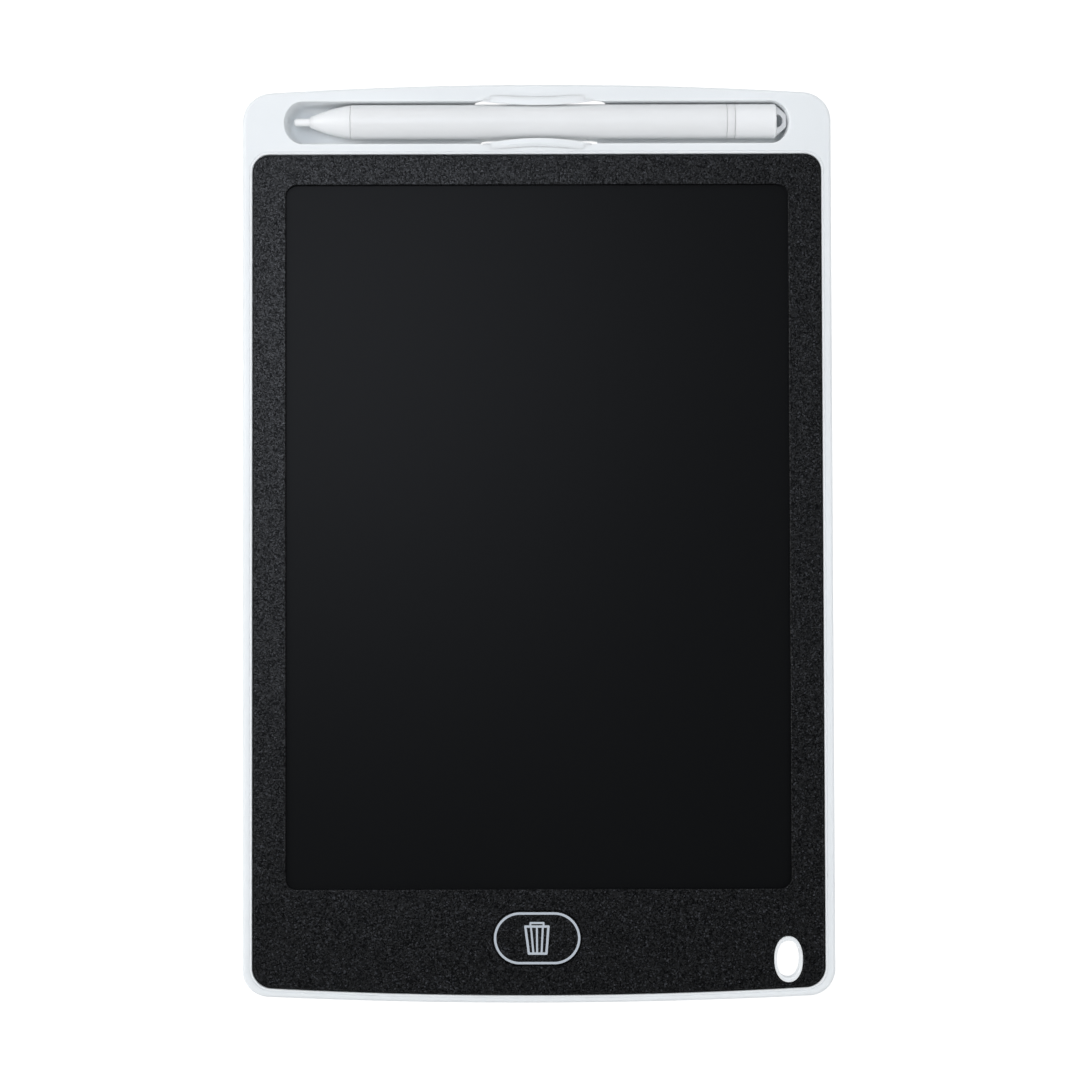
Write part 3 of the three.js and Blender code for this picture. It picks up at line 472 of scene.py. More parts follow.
# ------------------------------------------------------------------ the case
def build_case():
    n = 10
    prof = [(-2.0 + 2.0 * math.sin(t), 5.6 - 2.0 * math.cos(t)) for t in quarter(n)]
    prof += [(-1.0 + 1.0 * math.cos(t), 8.4 + 1.0 * math.sin(t)) for t in quarter(n)]
    case = solid("case_shell", slab(CASE), prof)

    # the bulge of the stylus tray on the back, with a soft root
    rows = []
    zs = [0.0, 0.05, 0.15, 0.3, 0.5, 0.8, 1.2, 1.6, 2.0, 2.4, 2.8, 3.05, 3.2, 3.35, 3.45, 3.52, 3.57, 3.6, 4.6]
    for z in zs:
        s = math.sqrt(max(0.0, 1 - ((6.2 - z) / 6.2) ** 2))
        s = max(s, 0.045)
        extra = 0.0
        if 2.9 < z:
            q = min(1.0, (z - 2.9) / 0.7)
            extra = 0.75 * (1 - math.sqrt(max(0.0, 1 - q * q)))
        lp = oval(0, TRAY_Y, 57.6 + 6.0 * s, 6.7 * s, 6.0 * s, 40)
        rows.append([(x, y, z) for x, y in lp(extra)])
    bulge = skin("tool", rows)

    # the stylus tray: a trough with a flat floor, leaning end walls and a rounded mouth
    rows = []
    for z, dy, dx, a in [
        (1.50, 1.90, 2.8, 3.3), (1.53, 1.55, 2.4, 3.6), (1.66, 1.22, 2.0, 3.9), (1.90, 0.92, 1.6, 4.1), (2.3, 0.70, 1.3, 4.25), (2.9, 0.52, 1.05, 4.35),
        (3.8, 0.36, 0.8, 4.42), (5.2, 0.19, 0.5, 4.50), (7.0, 0.08, 0.25, 4.58), (9.15, 0.0, 0.0, 4.65),
    ]:
        rows.append([(x, y, z) for x, y in oval(0, TRAY_Y, TRAY_L - dx, TRAY_W - dy, a, 36)(0)])
    for t in quarter(8)[1:-1]:
        g = 0.25 - 0.25 * math.cos(t)
        rows.append([(x, y, 9.15 + 0.25 * math.sin(t)) for x, y in oval(0, TRAY_Y, TRAY_L, TRAY_W, 4.65, 36)(g)])
    for z in (9.403, 11.0):
        rows.append([(x, y, z) for x, y in oval(0, TRAY_Y, TRAY_L, TRAY_W, 4.65, 36)(0.25)])
    tray = skin("tool", rows)

    plate = round_rect(DOOR["x0"] - 1.6, DOOR["x1"] + 1.4, DOOR["y0"] - 1.2, DOOR["y1"] + 0.6, 2)
    recess = round_rect(DOOR["x0"] - 0.45, DOOR["x1"] + 0.2, DOOR["y0"] - 0.2, DOOR["y1"] + 0.2, DOOR["r"] + 0.2)
    steps = [
        ("-", solid("tool", slab(PANEL), [(GAP + 0.62, Z_FRONT - 0.12), (GAP + 0.80, Z_FRONT + 0.3)])),
        ("+", rounded("tool", slab(PANEL), 8.0, Z_FRONT + 0.06, 0, 0.16, 6, GAP + 0.56)),
        ("-", solid("tool", slab(PANEL), [(-1.2, Z_FLOOR), (-1.2, 11.0)])),
        ("-", cutter(slab(PANEL), 8.2, Z_FRONT + 0.06, 0, 0.16, 8, GAP)),
        ("+", bulge),
        ("+", rounded("tool", ellipse(EYE["x"], EYE["y"], EYE["bx"], EYE["by"], 96, EYE["e"]), 4.4, 9.40, 0, 0.16)),
        ("+", solid("tool", cyl_loop(CELL[0], CELL[1], 11.7, 96), [(0, 4.6), (0, 6.9)])),
        ("+", solid("tool", plate, [(0, 4.6), (0, 5.5)])),
        ("+", solid("tool", cyl_loop(*SCREW, 4.8), [(0, 4.6), (0, 7.9)])),
        ("+", solid("tool", rect(38.9, 39.9, -108, -92), [(0, 4.6), (0, 6.35)])),
        ("+", solid("tool", rect(37.9, 39.9, -108, -92), [(0, 5.85), (0, 6.352)])),
    ]
    for x, y in BOARD_SCREWS:
        steps.append(("+", solid("tool", cyl_loop(x, y, 2.2, 48), [(0, 4.6), (0, 5.47)])))
    steps += [
        ("-", tray),
        ("-", relief([(-15.4, -1.0), (17.0, -1.0), (17.0, -0.50), (16.2, -0.12), (15.0, 0.15), (-13.2, 0.15), (-14.4, -0.12), (-15.4, -0.50)], 1)),
        ("-", relief([(-14.8, -0.15), (16.0, -0.15), (15.0, 0.30), (13.6, 0.48), (-12.2, 0.48), (-13.6, 0.30)], -1)),
        ("-", cutter(ellipse(EYE["x"], EYE["y"], EYE["ax"], EYE["ay"], 96, EYE["e"]), Z_BACK, 9.40, 0.7, 0.30)),
        ("-", cutter(recess, Z_BACK, Z_BACK + 1.2, 0.18, 0, 5)),
        ("-", solid("tool", rect(DOOR["x0"] - 0.6, DOOR["x0"] + 1.2, DOOR["y0"] + 0.5, DOOR["y1"] - 0.5), [(0, 2.6), (0, 4.8)])),
        ("-", solid("tool", cyl_loop(CELL[0], CELL[1], 10.3, 96), [(0, 4.0), (0, 8.0)])),
        ("-", solid("tool", cyl_loop(*SCREW, 3.6), [(0, 4.0), (0, 5.75)])),
        ("-", solid("tool", cyl_loop(*SCREW, 1.25, 48), [(0, 5.0), (0, 9.0)])),
        ("-", solid("tool", rect(DOOR["x0"] - 0.6, DOOR["x0"] + 2.0, DOOR["y0"] + 1.6, DOOR["y1"] - 1.6), [(0, 4.0), (0, 5.2)])),
        ("-", solid("tool", rect(DOOR["x0"] - 2.3, DOOR["x0"] + 1.4, CELL[1] + 4.4, CELL[1] + 9.1), [(0, 4.15), (0, 7.4)])),
        ("-", solid("tool", rect(DOOR["x0"] - 2.3, DOOR["x0"] + 1.4, CELL[1] - 9.1, CELL[1] - 4.4), [(0, 4.15), (0, 7.4)])),
        ("-", solid("tool", rect(CELL[0] + 4.6, CELL[0] + 12, CELL[1] - 9.9, CELL[1] - 5.0), [(0, 5.52), (0, 8.0)])),
        ("-", cutter(round_rect(LOCK["x0"] - 2.2, LOCK["x1"] + 2.2, LOCK["y"] - 6.2, LOCK["y"] + 8.2, 2), Z_BACK, Z_BACK + 0.5, 0.3, 0, 6)),
        ("-", solid("tool", round_rect(LOCK["x0"] - 0.25, LOCK["x1"] + 0.25, LOCK["y"] - 2.8, LOCK["y"] + 4.8, 0.6, 8), [(0, 2.0), (0, 6.0)])),
    ]
    for x, y in BOARD_SCREWS:
        steps.append(("-", solid("tool", cyl_loop(x, y, 0.75, 32), [(0, 4.1), (0, 6.0)])))
    for side in (1, -1):
        edge = TRAY_Y + side * TRAY_W
        steps.append(("-", build_hollow(side)))
        for end in (1, -1):  # the slot under each lug opens through the deck's edge at its ends
            c = CLIP_X + end * CLIP_L
            pts = [(c + end * 1.5, edge - side * 0.6), (c + end * 1.5, edge - side * 0.02), (c + end * 0.7, edge + side * 0.20), (c - end * 0.1, edge + side * 0.30), (c - end * 1.0, edge + side * 0.22), (c - end * 1.9, edge - side * 0.02), (c - end * 1.9, edge - side * 0.6)]
            if side * end < 0:
                pts = pts[::-1]
            steps.append(("-", solid("tool", poly(*pts), [(0, -1.0), (0, 11.0)])))
    return combine(case, steps)


def relief(outline, side):
    """The slot under a snap lug, pointed at its ends. It leans towards the top edge on its way to the back."""
    edge = TRAY_Y + side * TRAY_W
    rows = []
    for z in (-1.0, 4.0, 8.85):
        lean = 0.175 * (8.85 - z)
        rows.append([(x, edge + y + (lean if y > outline[0][1] + 0.01 else 0.0), z) for x, y in outline])
    return skin("tool", rows)


def hollow(u):
    """Depth of the soft hollow behind a lug, in mm."""
    return 0.24 * max(0.0, 1 - (u / 0.66) ** 2) ** 1.4 if abs(u) < 0.66 else 0.0


def build_hollow(side):
    edge = TRAY_Y + side * TRAY_W
    rows = []
    for i in range(65):
        u = -0.66 + 1.32 * i / 64
        outer = edge - side * CLIP_REACH[side] * (1 - u * u) + side * (CLIP_BAND + 0.05)
        d = hollow(u)
        ring = [(outer - side * 0.5, 9.402 - d)]
        for k in range(13):
            q = k / 12
            ring.append((outer + side * 1.15 * q, 9.402 - d * (1 - q * q * (3 - 2 * q))))
        ring += [(outer + side * 1.15, 9.9), (outer - side * 0.5, 9.9)]
        rows.append([(CLIP_X + CLIP_L * u, y, z) for y, z in ring])
    ob = skin("tool", rows)
    outward(ob)
    return ob


def build_lug(name, side):
    """A bowed tongue, moulded on to the deck: a soft crease along its root, a crowned back and a round nose over the stylus."""
    edge = TRAY_Y + side * TRAY_W
    rows = []
    nu = 96
    for i in range(nu + 1):
        u = -1 + 2 * i / nu
        u = math.copysign(abs(u) ** 0.9, u)
        bow = 1 - u * u
        full = math.sqrt(max(0.0, 1 - u ** 8)) * 0.997 + 0.003
        inner = edge - side * CLIP_REACH[side] * bow
        outer = inner + side * (CLIP_BAND + 0.05) * full
        rise = 0.42 * max(0.0, 1 - abs(u / 0.84) ** 2.2) ** 1.5 if abs(u) < 0.84 else 0.0
        ring = []
        ns = 30
        for k in range(ns + 1):
            s = k / ns
            y = outer + (inner - outer) * s
            w = min(1.0, s / 0.50)
            crest = w * w * (3 - 2 * w)
            z = 9.405 - 0.03 * (1 - full) - (0.008 + hollow(u)) * max(0.0, 1 - s / 0.22) ** 2 + rise * crest
            nose = max(0.0, (s - 0.86) / 0.14)
            z -= 0.26 * (1 - math.sqrt(max(0.0, 1 - nose * nose)))
            ring.append((y, z))
        ring.append((inner, 8.98))
        ring.append((inner + side * 0.05, 8.86))
        ring.append((inner + side * 0.15, 8.80))
        ring.append((outer, 8.80))
        x = CLIP_X + CLIP_L * u
        rows.append([(x, y, z) for y, z in ring])
    ob = skin(name, rows)
    outward(ob)
    return ob


def build_face():
    face = rounded("face_plate", slab(PANEL), 8.25, 9.25, 0.0, 0.20, 8)
    steps = [
        ("-", cutter(ellipse(EYE["x"], EYE["y"], EYE["bx"] + EYE["gap"], EYE["by"] + EYE["gap"], 96, EYE["e"]), 7.0, 9.25, 0, 0.12, 6)),
        ("+", rounded("tool", slab(PANEL), 8.252, 8.44, 0.0, 0.05, 3, GAP - 0.06)),
        ("-", solid("tool", ellipse(EYE["x"], EYE["y"], EYE["bx"] + 0.06, EYE["by"] + 0.06, 96, EYE["e"]), [(0, 7.0), (0, 9.0)])),
        ("-", cutter(round_rect(WINDOW["x0"], WINDOW["x1"], WINDOW["y0"], WINDOW["y1"], WINDOW["r"], 16), 7.0, 9.25, 0, 0.20, 8)),
        ("-", cutter(oval(KEY["x"], KEY["y"], KEY["hx"] + KEY["gap"], KEY["hy"] + KEY["gap"], KEY["a"] + KEY["gap"], 40), 7.0, 9.25, 0, 0.10, 5)),
    ]
    for y in (78, 28, -22, -72):
        steps.append(("+", solid("tool", rect(-68.5, -67.5, y - 4, y + 4), [(0, 7.3), (0, 8.5)])))
        steps.append(("+", solid("tool", rect(67.5, 68.5, y - 4, y + 4), [(0, 7.3), (0, 8.5)])))
    for x in (-52, 46):
        steps.append(("+", solid("tool", rect(x - 4, x + 4, -108.0, -107.1), [(0, 7.3), (0, 8.5)])))
    return combine(face, steps)


case = piece(build_case(), "tablet", "case", "back_shell")
piece(build_lug("snap_lug_upper", 1), "tablet", "lug", "stylus_clip_upper", 50)
piece(build_lug("snap_lug_lower", -1), "tablet", "lug", "stylus_clip_lower", 50)
piece(build_face(), "tablet", "face", "face_panel")


# ------------------------------------------------------------------ the erase key, its printed ring and its bin icon
def build_key():
    loop = oval(KEY["x"], KEY["y"], KEY["hx"], KEY["hy"], KEY["a"], 48)
    key = rounded("erase_key_cap", loop, 7.75, 9.55, 0.0, 0.30, 9)
    flange = rounded("tool", oval(KEY["x"], KEY["y"], KEY["hx"] + 0.8, KEY["hy"] + 0.8, KEY["a"] + 0.4, 40), 7.751, 8.2, 0, 0.12, 4)
    stem = rounded("tool", cyl_loop(KEY["x"], KEY["y"], 1.2, 48), 7.65, 7.95, 0.1, 0, 4)
    return combine(key, [("+", flange), ("+", stem)])


def stroke(p, q, w, z0, z1, grow_ends=True):
    d = Vector((q[0] - p[0], q[1] - p[1]))
    a = math.atan2(d.y, d.x)
    r = w / 2
    pts = arc(q[0], q[1], r, a - math.pi / 2, a + math.pi / 2, 10) + arc(p[0], p[1], r, a + math.pi / 2, a + 1.5 * math.pi, 10)
    return solid("tool", poly(*pts), [(0, z0), (0, z1)])


INK0, INK1 = 9.53, 9.585
ring = rounded("erase_key_ring", oval(KEY["x"], KEY["y"], 10.58, 6.34, 6.38, 56), INK0, INK1, 0, 0.03, 3)
combine(ring, [("-", solid("tool", oval(KEY["x"], KEY["y"], 10.58 - 0.58, 6.34 - 0.58, 6.38 - 0.58, 56), [(0, 9.0), (0, 10.0)]))])
piece(ring, "erase_key", "ink", None)


def build_icon():
    w, v = 0.58, 0.48
    tl, tr, bl, br = (-3.29, -94.33), (2.37, -94.33), (-2.42, -100.93), (1.86, -100.93)
    steps = [
        stroke(tr, br, w, INK0, INK1),
        stroke(br, bl, w, INK0, INK1),
        stroke(bl, tl, w, INK0, INK1),
        stroke((-1.90, -94.5), (-1.34, -100.7), v, INK0, INK1),
        stroke((-0.46, -94.5), (-0.42, -100.7), v, INK0, INK1),
        stroke((1.00, -94.5), (0.68, -100.7), v, INK0, INK1),
        stroke((-2.04, -94.2), (-2.02, -93.47), v, INK0, INK1),
        stroke((-2.02, -93.47), (1.17, -93.47), v, INK0, INK1),
        stroke((1.17, -93.47), (1.19, -94.2), v, INK0, INK1),
    ]
    icon = stroke(tl, tr, w, INK0, INK1)
    icon.name = "erase_key_icon"
    return combine(icon, [("+", s) for s in steps])


piece(build_icon(), "erase_key", "ink", None)
piece(build_key(), "erase_key", "face", "erase_button")


# ------------------------------------------------------------------ the stylus
SX = dict(tip=-60.2, nib=-56.1, cone=-46.0, band=47.03, cap=49.05, end=59.2, lug=61.85)
R = 4.3


def edge_arc(x, r, dx, dr, n=6):
    """A rounded corner that starts on the end face at (x, r - dr) and ends on the side at (x + dx, r)."""
    return [(x + dx - dx * math.cos(t), r - dr + dr * math.sin(t)) for t in quarter(n)]


nib = [(SX["tip"], 0)] + [(SX["tip"] + 0.85 - 0.85 * math.cos(t), 0.98 * math.sin(t) ** 0.8) for t in quarter(12)[1:]] + [(SX["nib"] + 1.5, 0.98), (SX["nib"] + 1.5, 0)]
piece(turned("nib_tip", nib, STYLUS_Y, TRAY_Z, 64), "stylus", "nib", "stylus_nib")

cone = [(SX["nib"] + 1.6, 0), (SX["nib"] + 1.6, 1.06), (SX["nib"] + 0.05, 1.06)]
cone += edge_arc(SX["nib"], 1.42, 0.16, 0.28, 5)
for i in range(1, 25):  # a slightly bellied taper
    q = i / 24
    cone.append((SX["nib"] + 0.16 + (SX["cone"] - 0.35 - SX["nib"] - 0.16) * q, 1.42 + (R - 0.10 - 1.42) * (q + 0.11 * math.sin(math.pi * q))))
cone += [(SX["cone"] - 0.12, R - 0.12), (SX["cone"] - 0.03, R - 0.20), (SX["cone"], R - 0.34), (SX["cone"], 3.58), (SX["cone"] + 4.5, 3.5), (SX["cone"] + 4.5, 0)]
piece(turned("nose_cone", cone, STYLUS_Y, TRAY_Z, 128), "stylus", "stylus", "stylus_nose_cone", 40)


def sleeve(x0, x1, lip=0.26, drop=0.16):
    p = [(x0, 3.65)]
    p += edge_arc(x0, R, lip, drop, 6)
    p += [(x1 - (px - x0), pr) for px, pr in reversed(edge_arc(x0, R, lip, drop, 6))]
    p += [(x1, 3.65), (x0, 3.65)]
    return p


piece(turned("barrel", sleeve(SX["cone"] + 0.04, SX["band"] - 0.03, 0.20, 0.10), STYLUS_Y, TRAY_Z, 128), "stylus", "stylus", "stylus_barrel", 40)
piece(turned("band_ring", sleeve(SX["band"] + 0.03, SX["cap"] - 0.03, 0.20, 0.12), STYLUS_Y, TRAY_Z, 128), "stylus", "stylus", "stylus_band", 40)

cap = [(SX["band"] - 4, 0), (SX["band"] - 4, 3.5), (SX["cap"] + 0.03, 3.57)]
cap += edge_arc(SX["cap"] + 0.03, R, 0.20, 0.12, 6)
cap += [(SX["end"] + 0.0 - (px - 0), pr) for px, pr in reversed([(0.45 - 0.45 * math.cos(t), R - 0.45 + 0.45 * math.sin(t)) for t in quarter(8)])]
cap += [(SX["end"], 0)]
end_cap = turned("end_cap", cap, STYLUS_Y, TRAY_Z, 128)
tail = poly(
    (SX["end"] - 0.6, STYLUS_Y - 3.8),
    (SX["end"] + 0.1, STYLUS_Y - 3.8),
    *[(x, y) for x, y in arc(SX["lug"] - 0.75, STYLUS_Y - 1.15, 0.75, -math.radians(45), 0, 6)],
    *[(x, y) for x, y in arc(SX["lug"] - 0.75, STYLUS_Y + 1.15, 0.75, 0, math.radians(45), 6)],
    (SX["end"] + 0.1, STYLUS_Y + 3.8),
    (SX["end"] - 0.6, STYLUS_Y + 3.8),
)


def tail_loop(g):
    pts = tail(0)
    cx = SX["end"] - 0.6
    out = []
    for x, y in pts:  # shrink towards the cap's end, to round the tail's rim
        kx = (x - cx) / (SX["lug"] - cx)
        out.append((x + g * kx, y + g * (y - STYLUS_Y) / 3.8))
    return out


tail_solid = rounded("tool", tail_loop, TRAY_Z - 1.0, TRAY_Z + 1.0, 0.3, 0.3, 5)
hole = poly(*[(SX["end"] + 0.03 + 1.65 * math.cos(t), STYLUS_Y + 1.65 * math.sin(t)) for t in [-math.pi / 2 + math.pi * i / 28 for i in range(29)]])


def hole_loop(g):
    return [(SX["end"] + 0.03 + (1.65 + g) * math.cos(-math.pi / 2 + math.pi * i / 28), STYLUS_Y + (1.65 + g) * math.sin(-math.pi / 2 + math.pi * i / 28)) for i in range(29)]


combine(end_cap, [("+", tail_solid), ("-", cutter(hole_loop, TRAY_Z - 1.0, TRAY_Z + 1.0, 0.2, 0.2, 5, over=3.0))])
piece(end_cap, "stylus", "stylus", "stylus_end_cap", 40)


# ------------------------------------------------------------------ the battery door, its screw, the lock slider and the cell
def build_door():
    lp = round_rect(DOOR["x0"], DOOR["x1"], DOOR["y0"], DOOR["y1"], DOOR["r"], 16)
    door = rounded("door_panel", lp, Z_BACK, Z_BACK + DOOR["t"], 0.2, 0.08, 5)
    steps = [
        ("+", solid("tool", cyl_loop(*SCREW, 3.2), [(0, 4.2), (0, 5.6)])),
        ("+", rounded("tool", rect(DOOR["x0"] - 1.6, DOOR["x0"] + 1.2, CELL[1] + 4.9, CELL[1] + 8.6), 4.35, 4.95, 0.12, 0.12, 3)),
        ("+", rounded("tool", rect(DOOR["x0"] - 1.6, DOOR["x0"] + 1.2, CELL[1] - 8.6, CELL[1] - 4.9), 4.35, 4.95, 0.12, 0.12, 3)),
        ("-", cutter(cyl_loop(*SCREW, 2.3), Z_BACK, 4.65, 0.2, 0, 5)),
        ("-", solid("tool", cyl_loop(*SCREW, 1.2, 48), [(0, 3.0), (0, 7.0)])),
    ]
    for k in range(3):
        steps.append(("-", cutter(round_rect(-45.5 + k * 1.6, -44.9 + k * 1.6, CELL[1] - 5, CELL[1] + 5, 0.25, 6), Z_BACK, Z_BACK + 0.3, 0.1, 0, 4)))
    return combine(door, steps)


def build_screw(name, x, y, z_seat, direction, head_r, head_t, shank_r, shank_l, thread=0.0):
    """Pan head with a rounded crown, a tapered cross recess and a threaded shank."""
    d = direction
    prof = []
    n = 8
    for t in quarter(n):  # crown, from the rim to the flat
        prof.append((head_r - head_t * 0.85 * (1 - math.cos(t)), head_t * (0.15 + 0.85 * math.sin(t))))
    prof.append((0.0, head_t))
    rings = [(0.0, -shank_l), (shank_r * 0.45, -shank_l), (shank_r * 0.8, -shank_l + 0.25)]
    turns = max(3, int((shank_l - 0.4) / 0.42))
    for i in range(turns):
        z = -shank_l + 0.3 + i * (shank_l - 0.35) / turns
        p = (shank_l - 0.35) / turns
        rings += [(shank_r * 0.80, z), (shank_r, z + p * 0.45), (shank_r, z + p * 0.55), (shank_r * 0.80, z + p * 0.98)]
    rings += [(shank_r, -0.02), (head_r * 0.985, 0.0)] + prof
    seg = 64
    verts, rows = [], []
    for r, z in rings:
        if r <= 1e-6:
            rows.append([len(verts)])
            verts.append((x, y, z_seat + d * z))
        else:
            rows.append(list(range(len(verts), len(verts) + seg)))
            verts += [(x + r * math.cos(2 * math.pi * k / seg), y + r * math.sin(2 * math.pi * k / seg), z_seat + d * z) for k in range(seg)]
    faces = []
    for a, b in zip(rows, rows[1:]):
        for k in range(seg):
            m = (k + 1) % seg
            if len(a) == 1:
                faces.append((a[0], b[m], b[k]))
            elif len(b) == 1:
                faces.append((a[k], a[m], b[0]))
            else:
                faces.append((a[k], a[m], b[m], b[k]))
    ob = make(name, verts, faces)
    outward(ob)
    z_top = z_seat + d * (head_t + 0.2)
    z_bot = z_seat + d * (head_t - head_t * 0.75)
    w, l = head_r * 0.15, head_r * 0.56

    def cross(g):
        a, b = w + g * 0.4, l + g
        return [(x + b, y - a), (x + b, y + a), (x + a, y + a), (x + a, y + b), (x - a, y + b), (x - a, y + a), (x - b, y + a), (x - b, y - a), (x - a, y - a), (x - a, y - b), (x + a, y - b), (x + a, y - a)]

    levels = sorted([(z_top, 0.06 * head_r), (z_bot, -0.16 * head_r)])
    tool = skin("tool", [[(px, py, z) for px, py in cross(g)] for z, g in levels])
    outward(tool)
    return combine(ob, [("-", tool)])


def build_slider():
    ly = LOCK["y"]
    knob = rounded("slider_knob", round_rect(LOCK["x0"], LOCK["x1"], ly - 2.5, ly + 2.5, 0.5, 8), 3.65, 5.3, 0.15, 0, 5)
    steps = [
        ("+", rounded("tool", round_rect(28.5, 38.6, ly - 5.2, ly + 5.2, 0.8, 8), 5.05, 5.65, 0.05, 0.1, 3)),
        ("+", rounded("tool", rect(28.5, 30.4, ly - 1.65, ly - 0.75), 5.5, 7.5, 0, 0.12, 3)),
        ("+", rounded("tool", rect(28.5, 30.4, ly + 0.75, ly + 1.65), 5.5, 7.5, 0, 0.12, 3)),
    ]
    for k in (-1.5, -0.5, 0.5, 1.5):
        c = 0.22
        verts = [(LOCK["x0"] - 1, ly + k - c, 3.4), (LOCK["x1"] + 1, ly + k - c, 3.4), (LOCK["x1"] + 1, ly + k + c, 3.4), (LOCK["x0"] - 1, ly + k + c, 3.4),
                 (LOCK["x0"] - 1, ly + k - c * 0.35, 4.05), (LOCK["x1"] + 1, ly + k - c * 0.35, 4.05), (LOCK["x1"] + 1, ly + k + c * 0.35, 4.05), (LOCK["x0"] - 1, ly + k + c * 0.35, 4.05)]
        tool = make("tool", verts, [(3, 2, 1, 0), (4, 5, 6, 7), (0, 1, 5, 4), (1, 2, 6, 5), (2, 3, 7, 6), (3, 0, 4, 7)])
        outward(tool)
        steps.append(("-", tool))
    return combine(knob, steps)


def build_cell():
    """A coin cell: can with a rolled rim, a gasket line and the smaller cap above it."""
    x, y, r = CELL
    prof = [(0.0, 4.95), (r - 0.75, 4.95)]
    prof += [(r - 0.45 + 0.45 * math.sin(t), 5.40 - 0.45 * math.cos(t)) for t in quarter(8)]
    prof += [(r, 5.95)] + [(r - 0.25 + 0.25 * math.cos(t), 5.95 + 0.22 * math.sin(t)) for t in quarter(6)[1:]]
    prof += [(r - 0.85, 6.19), (r - 0.95, 6.12), (r - 1.05, 6.12), (r - 1.15, 6.2)]
    prof += [(r - 1.6 + 0.3 * math.cos(t), 6.25 + 0.3 * math.sin(t)) for t in quarter(6)] + [(0.0, 6.55)]
    seg = 128
    verts, rows = [], []
    for q, z in prof:
        if q <= 1e-6:
            rows.append([len(verts)])
            verts.append((x, y, z))
        else:
            rows.append(list(range(len(verts), len(verts) + seg)))
            verts += [(x + q * math.cos(2 * math.pi * k / seg), y + q * math.sin(2 * math.pi * k / seg), z) for k in range(seg)]
    faces = []
    for a, b in zip(rows, rows[1:]):
        for k in range(seg):
            m = (k + 1) % seg
            if len(a) == 1:
                faces.append((a[0], b[m], b[k]))
            elif len(b) == 1:
                faces.append((a[k], a[m], b[0]))
            else:
                faces.append((a[k], a[m], b[m], b[k]))
    ob = make("button_cell", verts, faces)
    outward(ob)
    return ob


piece(build_door(), "battery_hatch", "case", "battery_door")
piece(build_screw("door_screw", *SCREW, 4.6, -1, 1.95, 0.85, 0.9, 3.0), "hatch_screw", "screw", "battery_door_screw")
for i, (x, y) in enumerate(BOARD_SCREWS):
    piece(build_screw(f"board_fixing_{i + 1}", x, y, 6.35, 1, 1.5, 0.65, 0.68, 2.1), "tablet", "screw", f"board_screw_{i + 1}")
piece(build_slider(), "lock_slide", "slider", "lock_slider")
piece(build_cell(), "tablet", "steel", "coin_cell")

# ------------------------------------------------------------------ materials of the CAD nodes that stay
looks = {
    "lcd_film": "film", "lcd_adhesive_frame": "tape", "lcd_backing_sheet": "tape", "foam_pad": "foam", "lcd_flex_tail": "polyimide", "flex_connector": "chip",
    "main_board": "board", "tact_switch_base": "steel", "tact_switch_plunger": "chip", "controller_chip": "chip", "boost_inductor": "chip",
    "chip_capacitor_1": "ceramic", "chip_capacitor_2": "ceramic", "chip_capacitor_3": "ceramic", "rectifier_diode": "chip",
    "lock_switch_base": "steel", "lock_switch_lever": "chip", "contact_negative": "tin", "contact_positive": "tin",
}
for name, look in looks.items():
    ob = nodes[name]
    if not ob.material_slots:
        ob.data.materials.append(MAT[look])
    for s in ob.material_slots:
        s.material = MAT[look]

# ------------------------------------------------------------------ floor, light, camera
SKY = (0.16, 0.48, 0.96, 0.89, 0.18, 0.055)  # brightness from the horizon to straight up, where the camera's side of the tent is dark
GLOWS = [((-0.85, 0.25, 1.0), 6.0, 0.25, (-1200, 0))]
# The case rests on its tray's bulge and on its lower back edge, so the floor leans by about a degree.
slope = math.atan2(3.6, 103.7 + 111.6)
floor = make("floor", [(-1.6, -1.6, 0), (1.6, -1.6, 0), (1.6, 1.6, 0), (-1.6, 1.6, 0)], [(0, 1, 2, 3)])
floor.matrix_world = Matrix.Translation((0, TRAY_Y * MM, -0.00002)) @ Matrix.Rotation(-slope, 4, "X")
fm = bpy.data.materials.new("pale_floor")
fm.use_nodes = True
ft = fm.node_tree
ft.nodes.clear()
out = node(ft, "ShaderNodeOutputMaterial", (600, 0))
dif = node(ft, "ShaderNodeBsdfDiffuse", (0, 100))
dif.inputs["Color"].default_value = (0.34, 0.34, 0.345, 1)
emi = node(ft, "ShaderNodeEmission", (0, -50))
emi.inputs["Color"].default_value = (1, 1, 1, 1)
addn = node(ft, "ShaderNodeAddShader", (200, 50))
ft.links.new(dif.outputs[0], addn.inputs[0])
ft.links.new(emi.outputs[0], addn.inputs[1])
clear = node(ft, "ShaderNodeBsdfTransparent", (200, -150))
geo = node(ft, "ShaderNodeNewGeometry", (-200, 300))
path = node(ft, "ShaderNodeLightPath", (-200, 500))
glare = node(ft, "ShaderNodeMath", (-200, -50), operation="MULTIPLY_ADD")  # the floor lights the object less than it shows
ft.links.new(path.outputs["Is Camera Ray"], glare.inputs[0])
glare.inputs[1].default_value = 0.34
glare.inputs[2].default_value = 0.52
ft.links.new(glare.outputs[0], emi.inputs["Strength"])
either = node(ft, "ShaderNodeMath", (200, 400), operation="MAXIMUM")
ft.links.new(geo.outputs["Backfacing"], either.inputs[0])
ft.links.new(path.outputs["Is Shadow Ray"], either.inputs[1])
mixf = node(ft, "ShaderNodeMixShader", (400, 0))
ft.links.new(either.outputs[0], mixf.inputs[0])
ft.links.new(addn.outputs[0], mixf.inputs[1])
ft.links.new(clear.outputs[0], mixf.inputs[2])
ft.links.new(mixf.outputs[0], out.inputs[0])
floor.data.materials.append(fm)

world = bpy.data.worlds.new("studio")
scene.world = world
world.use_nodes = True
wt = world.node_tree
bg = wt.nodes["Background"]
wc = node(wt, "ShaderNodeTexCoord", (-1400, 0))


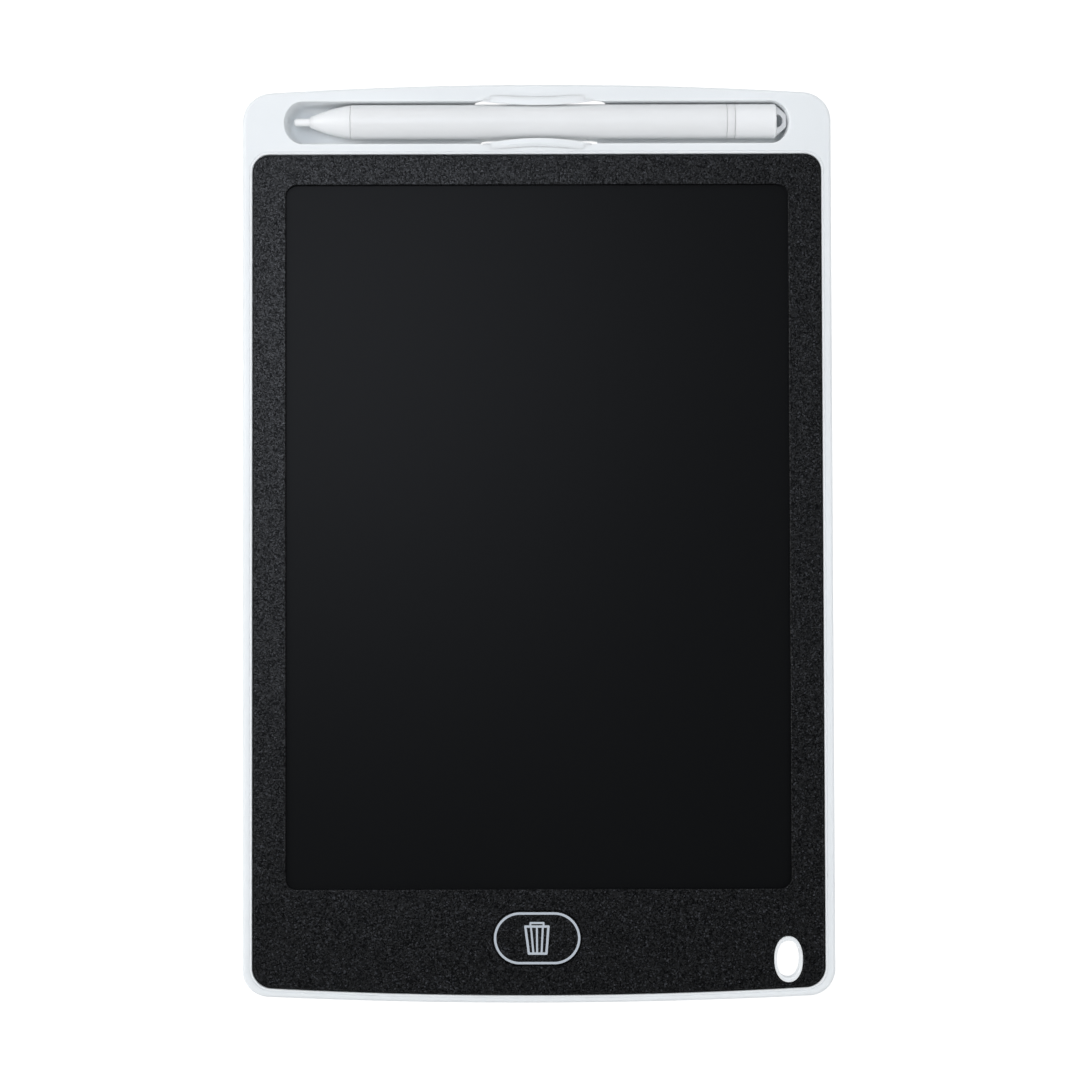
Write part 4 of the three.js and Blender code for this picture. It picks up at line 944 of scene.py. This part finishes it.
def glow(direction, power, strength, loc):
    """Light that is strongest from one direction and falls off smoothly round it, as a big softbox does."""
    d = Vector(direction).normalized()
    dot = node(wt, "ShaderNodeVectorMath", loc, operation="DOT_PRODUCT")
    wt.links.new(wc.outputs["Generated"], dot.inputs[0])
    dot.inputs[1].default_value = d
    clip = node(wt, "ShaderNodeMath", (loc[0] + 180, loc[1]), operation="MAXIMUM")
    wt.links.new(dot.outputs["Value"], clip.inputs[0])
    clip.inputs[1].default_value = 0.0
    pw = node(wt, "ShaderNodeMath", (loc[0] + 360, loc[1]), operation="POWER")
    wt.links.new(clip.outputs[0], pw.inputs[0])
    pw.inputs[1].default_value = power
    mul = node(wt, "ShaderNodeMath", (loc[0] + 540, loc[1]), operation="MULTIPLY")
    wt.links.new(pw.outputs[0], mul.inputs[0])
    mul.inputs[1].default_value = strength
    return mul.outputs[0]


sep = node(wt, "ShaderNodeSeparateXYZ", (-1200, 300))
wt.links.new(wc.outputs["Generated"], sep.inputs[0])
height = node(wt, "ShaderNodeValToRGB", (-1000, 300))
height.color_ramp.interpolation = "EASE"
SKY_STOPS = [(0.0, SKY[0]), (0.30, SKY[1]), (0.55, SKY[2]), (0.78, SKY[3]), (0.90, SKY[4]), (1.0, SKY[5])]
for i, (pos, val) in enumerate(SKY_STOPS):
    e = height.color_ramp.elements[0] if i == 0 else height.color_ramp.elements[-1] if i == len(SKY_STOPS) - 1 else height.color_ramp.elements.new(pos)
    e.color = (val / 2, val / 2, val / 2, 1)
wt.links.new(sep.outputs["Z"], height.inputs["Fac"])
twice = node(wt, "ShaderNodeMath", (-700, 300), operation="MULTIPLY")
wt.links.new(height.outputs["Color"], twice.inputs[0])
twice.inputs[1].default_value = 2.0
total = twice.outputs[0]
for args in GLOWS:
    a = node(wt, "ShaderNodeMath", (0, 0), operation="ADD")
    wt.links.new(total, a.inputs[0])
    wt.links.new(glow(*args), a.inputs[1])
    total = a.outputs[0]
wt.links.new(total, bg.inputs["Strength"])
bg.inputs["Color"].default_value = (0.975, 0.988, 1.0, 1)


def area(name, loc, target, size, energy, color=(1, 1, 1), size_y=None):
    li = bpy.data.lights.new(name, "AREA")
    li.shape = "RECTANGLE" if size_y else "SQUARE"
    li.size = size
    if size_y:
        li.size_y = size_y
    li.energy = energy
    li.color = color
    ob = bpy.data.objects.new(name, li)
    ob.location = loc
    ob.rotation_euler = (Vector(target) - Vector(loc)).to_track_quat("-Z", "Y").to_euler()
    ob.visible_camera = False
    scene.collection.objects.link(ob)
    return ob


area("key_softbox", (-0.80, 0.15, 0.75), (0, 0, 0), 0.5, 2.95, (1.0, 0.996, 0.98))
area("top_softbox", (-0.125, 0.145, 0.75), (-0.03, 0.03, 0), 0.24, 0.92, (0.84, 0.89, 1.0))
area("fill_softbox", (0.9, -0.1, 0.8), (0, 0, 0), 1.0, 2.2, (0.96, 0.98, 1.0))
area("under_left", (-0.7, -0.4, -0.45), (0, 0, 0), 0.5, 1.6)
area("under_right", (0.7, 0.5, -0.6), (0, 0, 0), 0.8, 0.3)

cam_data = bpy.data.cameras.new("camera")
cam_data.lens = 100.0
cam_data.sensor_width = 36.0
cam = bpy.data.objects.new("camera", cam_data)
scene.collection.objects.link(cam)
tilt, roll, far = math.radians(1.885), math.radians(-0.148), 0.7374
cam.location = (0.00055, 0.00031 - far * math.sin(tilt), 0.0094 + far * math.cos(tilt))
cam.rotation_euler = (Matrix.Rotation(tilt, 3, "X") @ Matrix.Rotation(roll, 3, "Z")).to_euler()
scene.camera = cam
scene.view_settings.view_transform = "Standard"
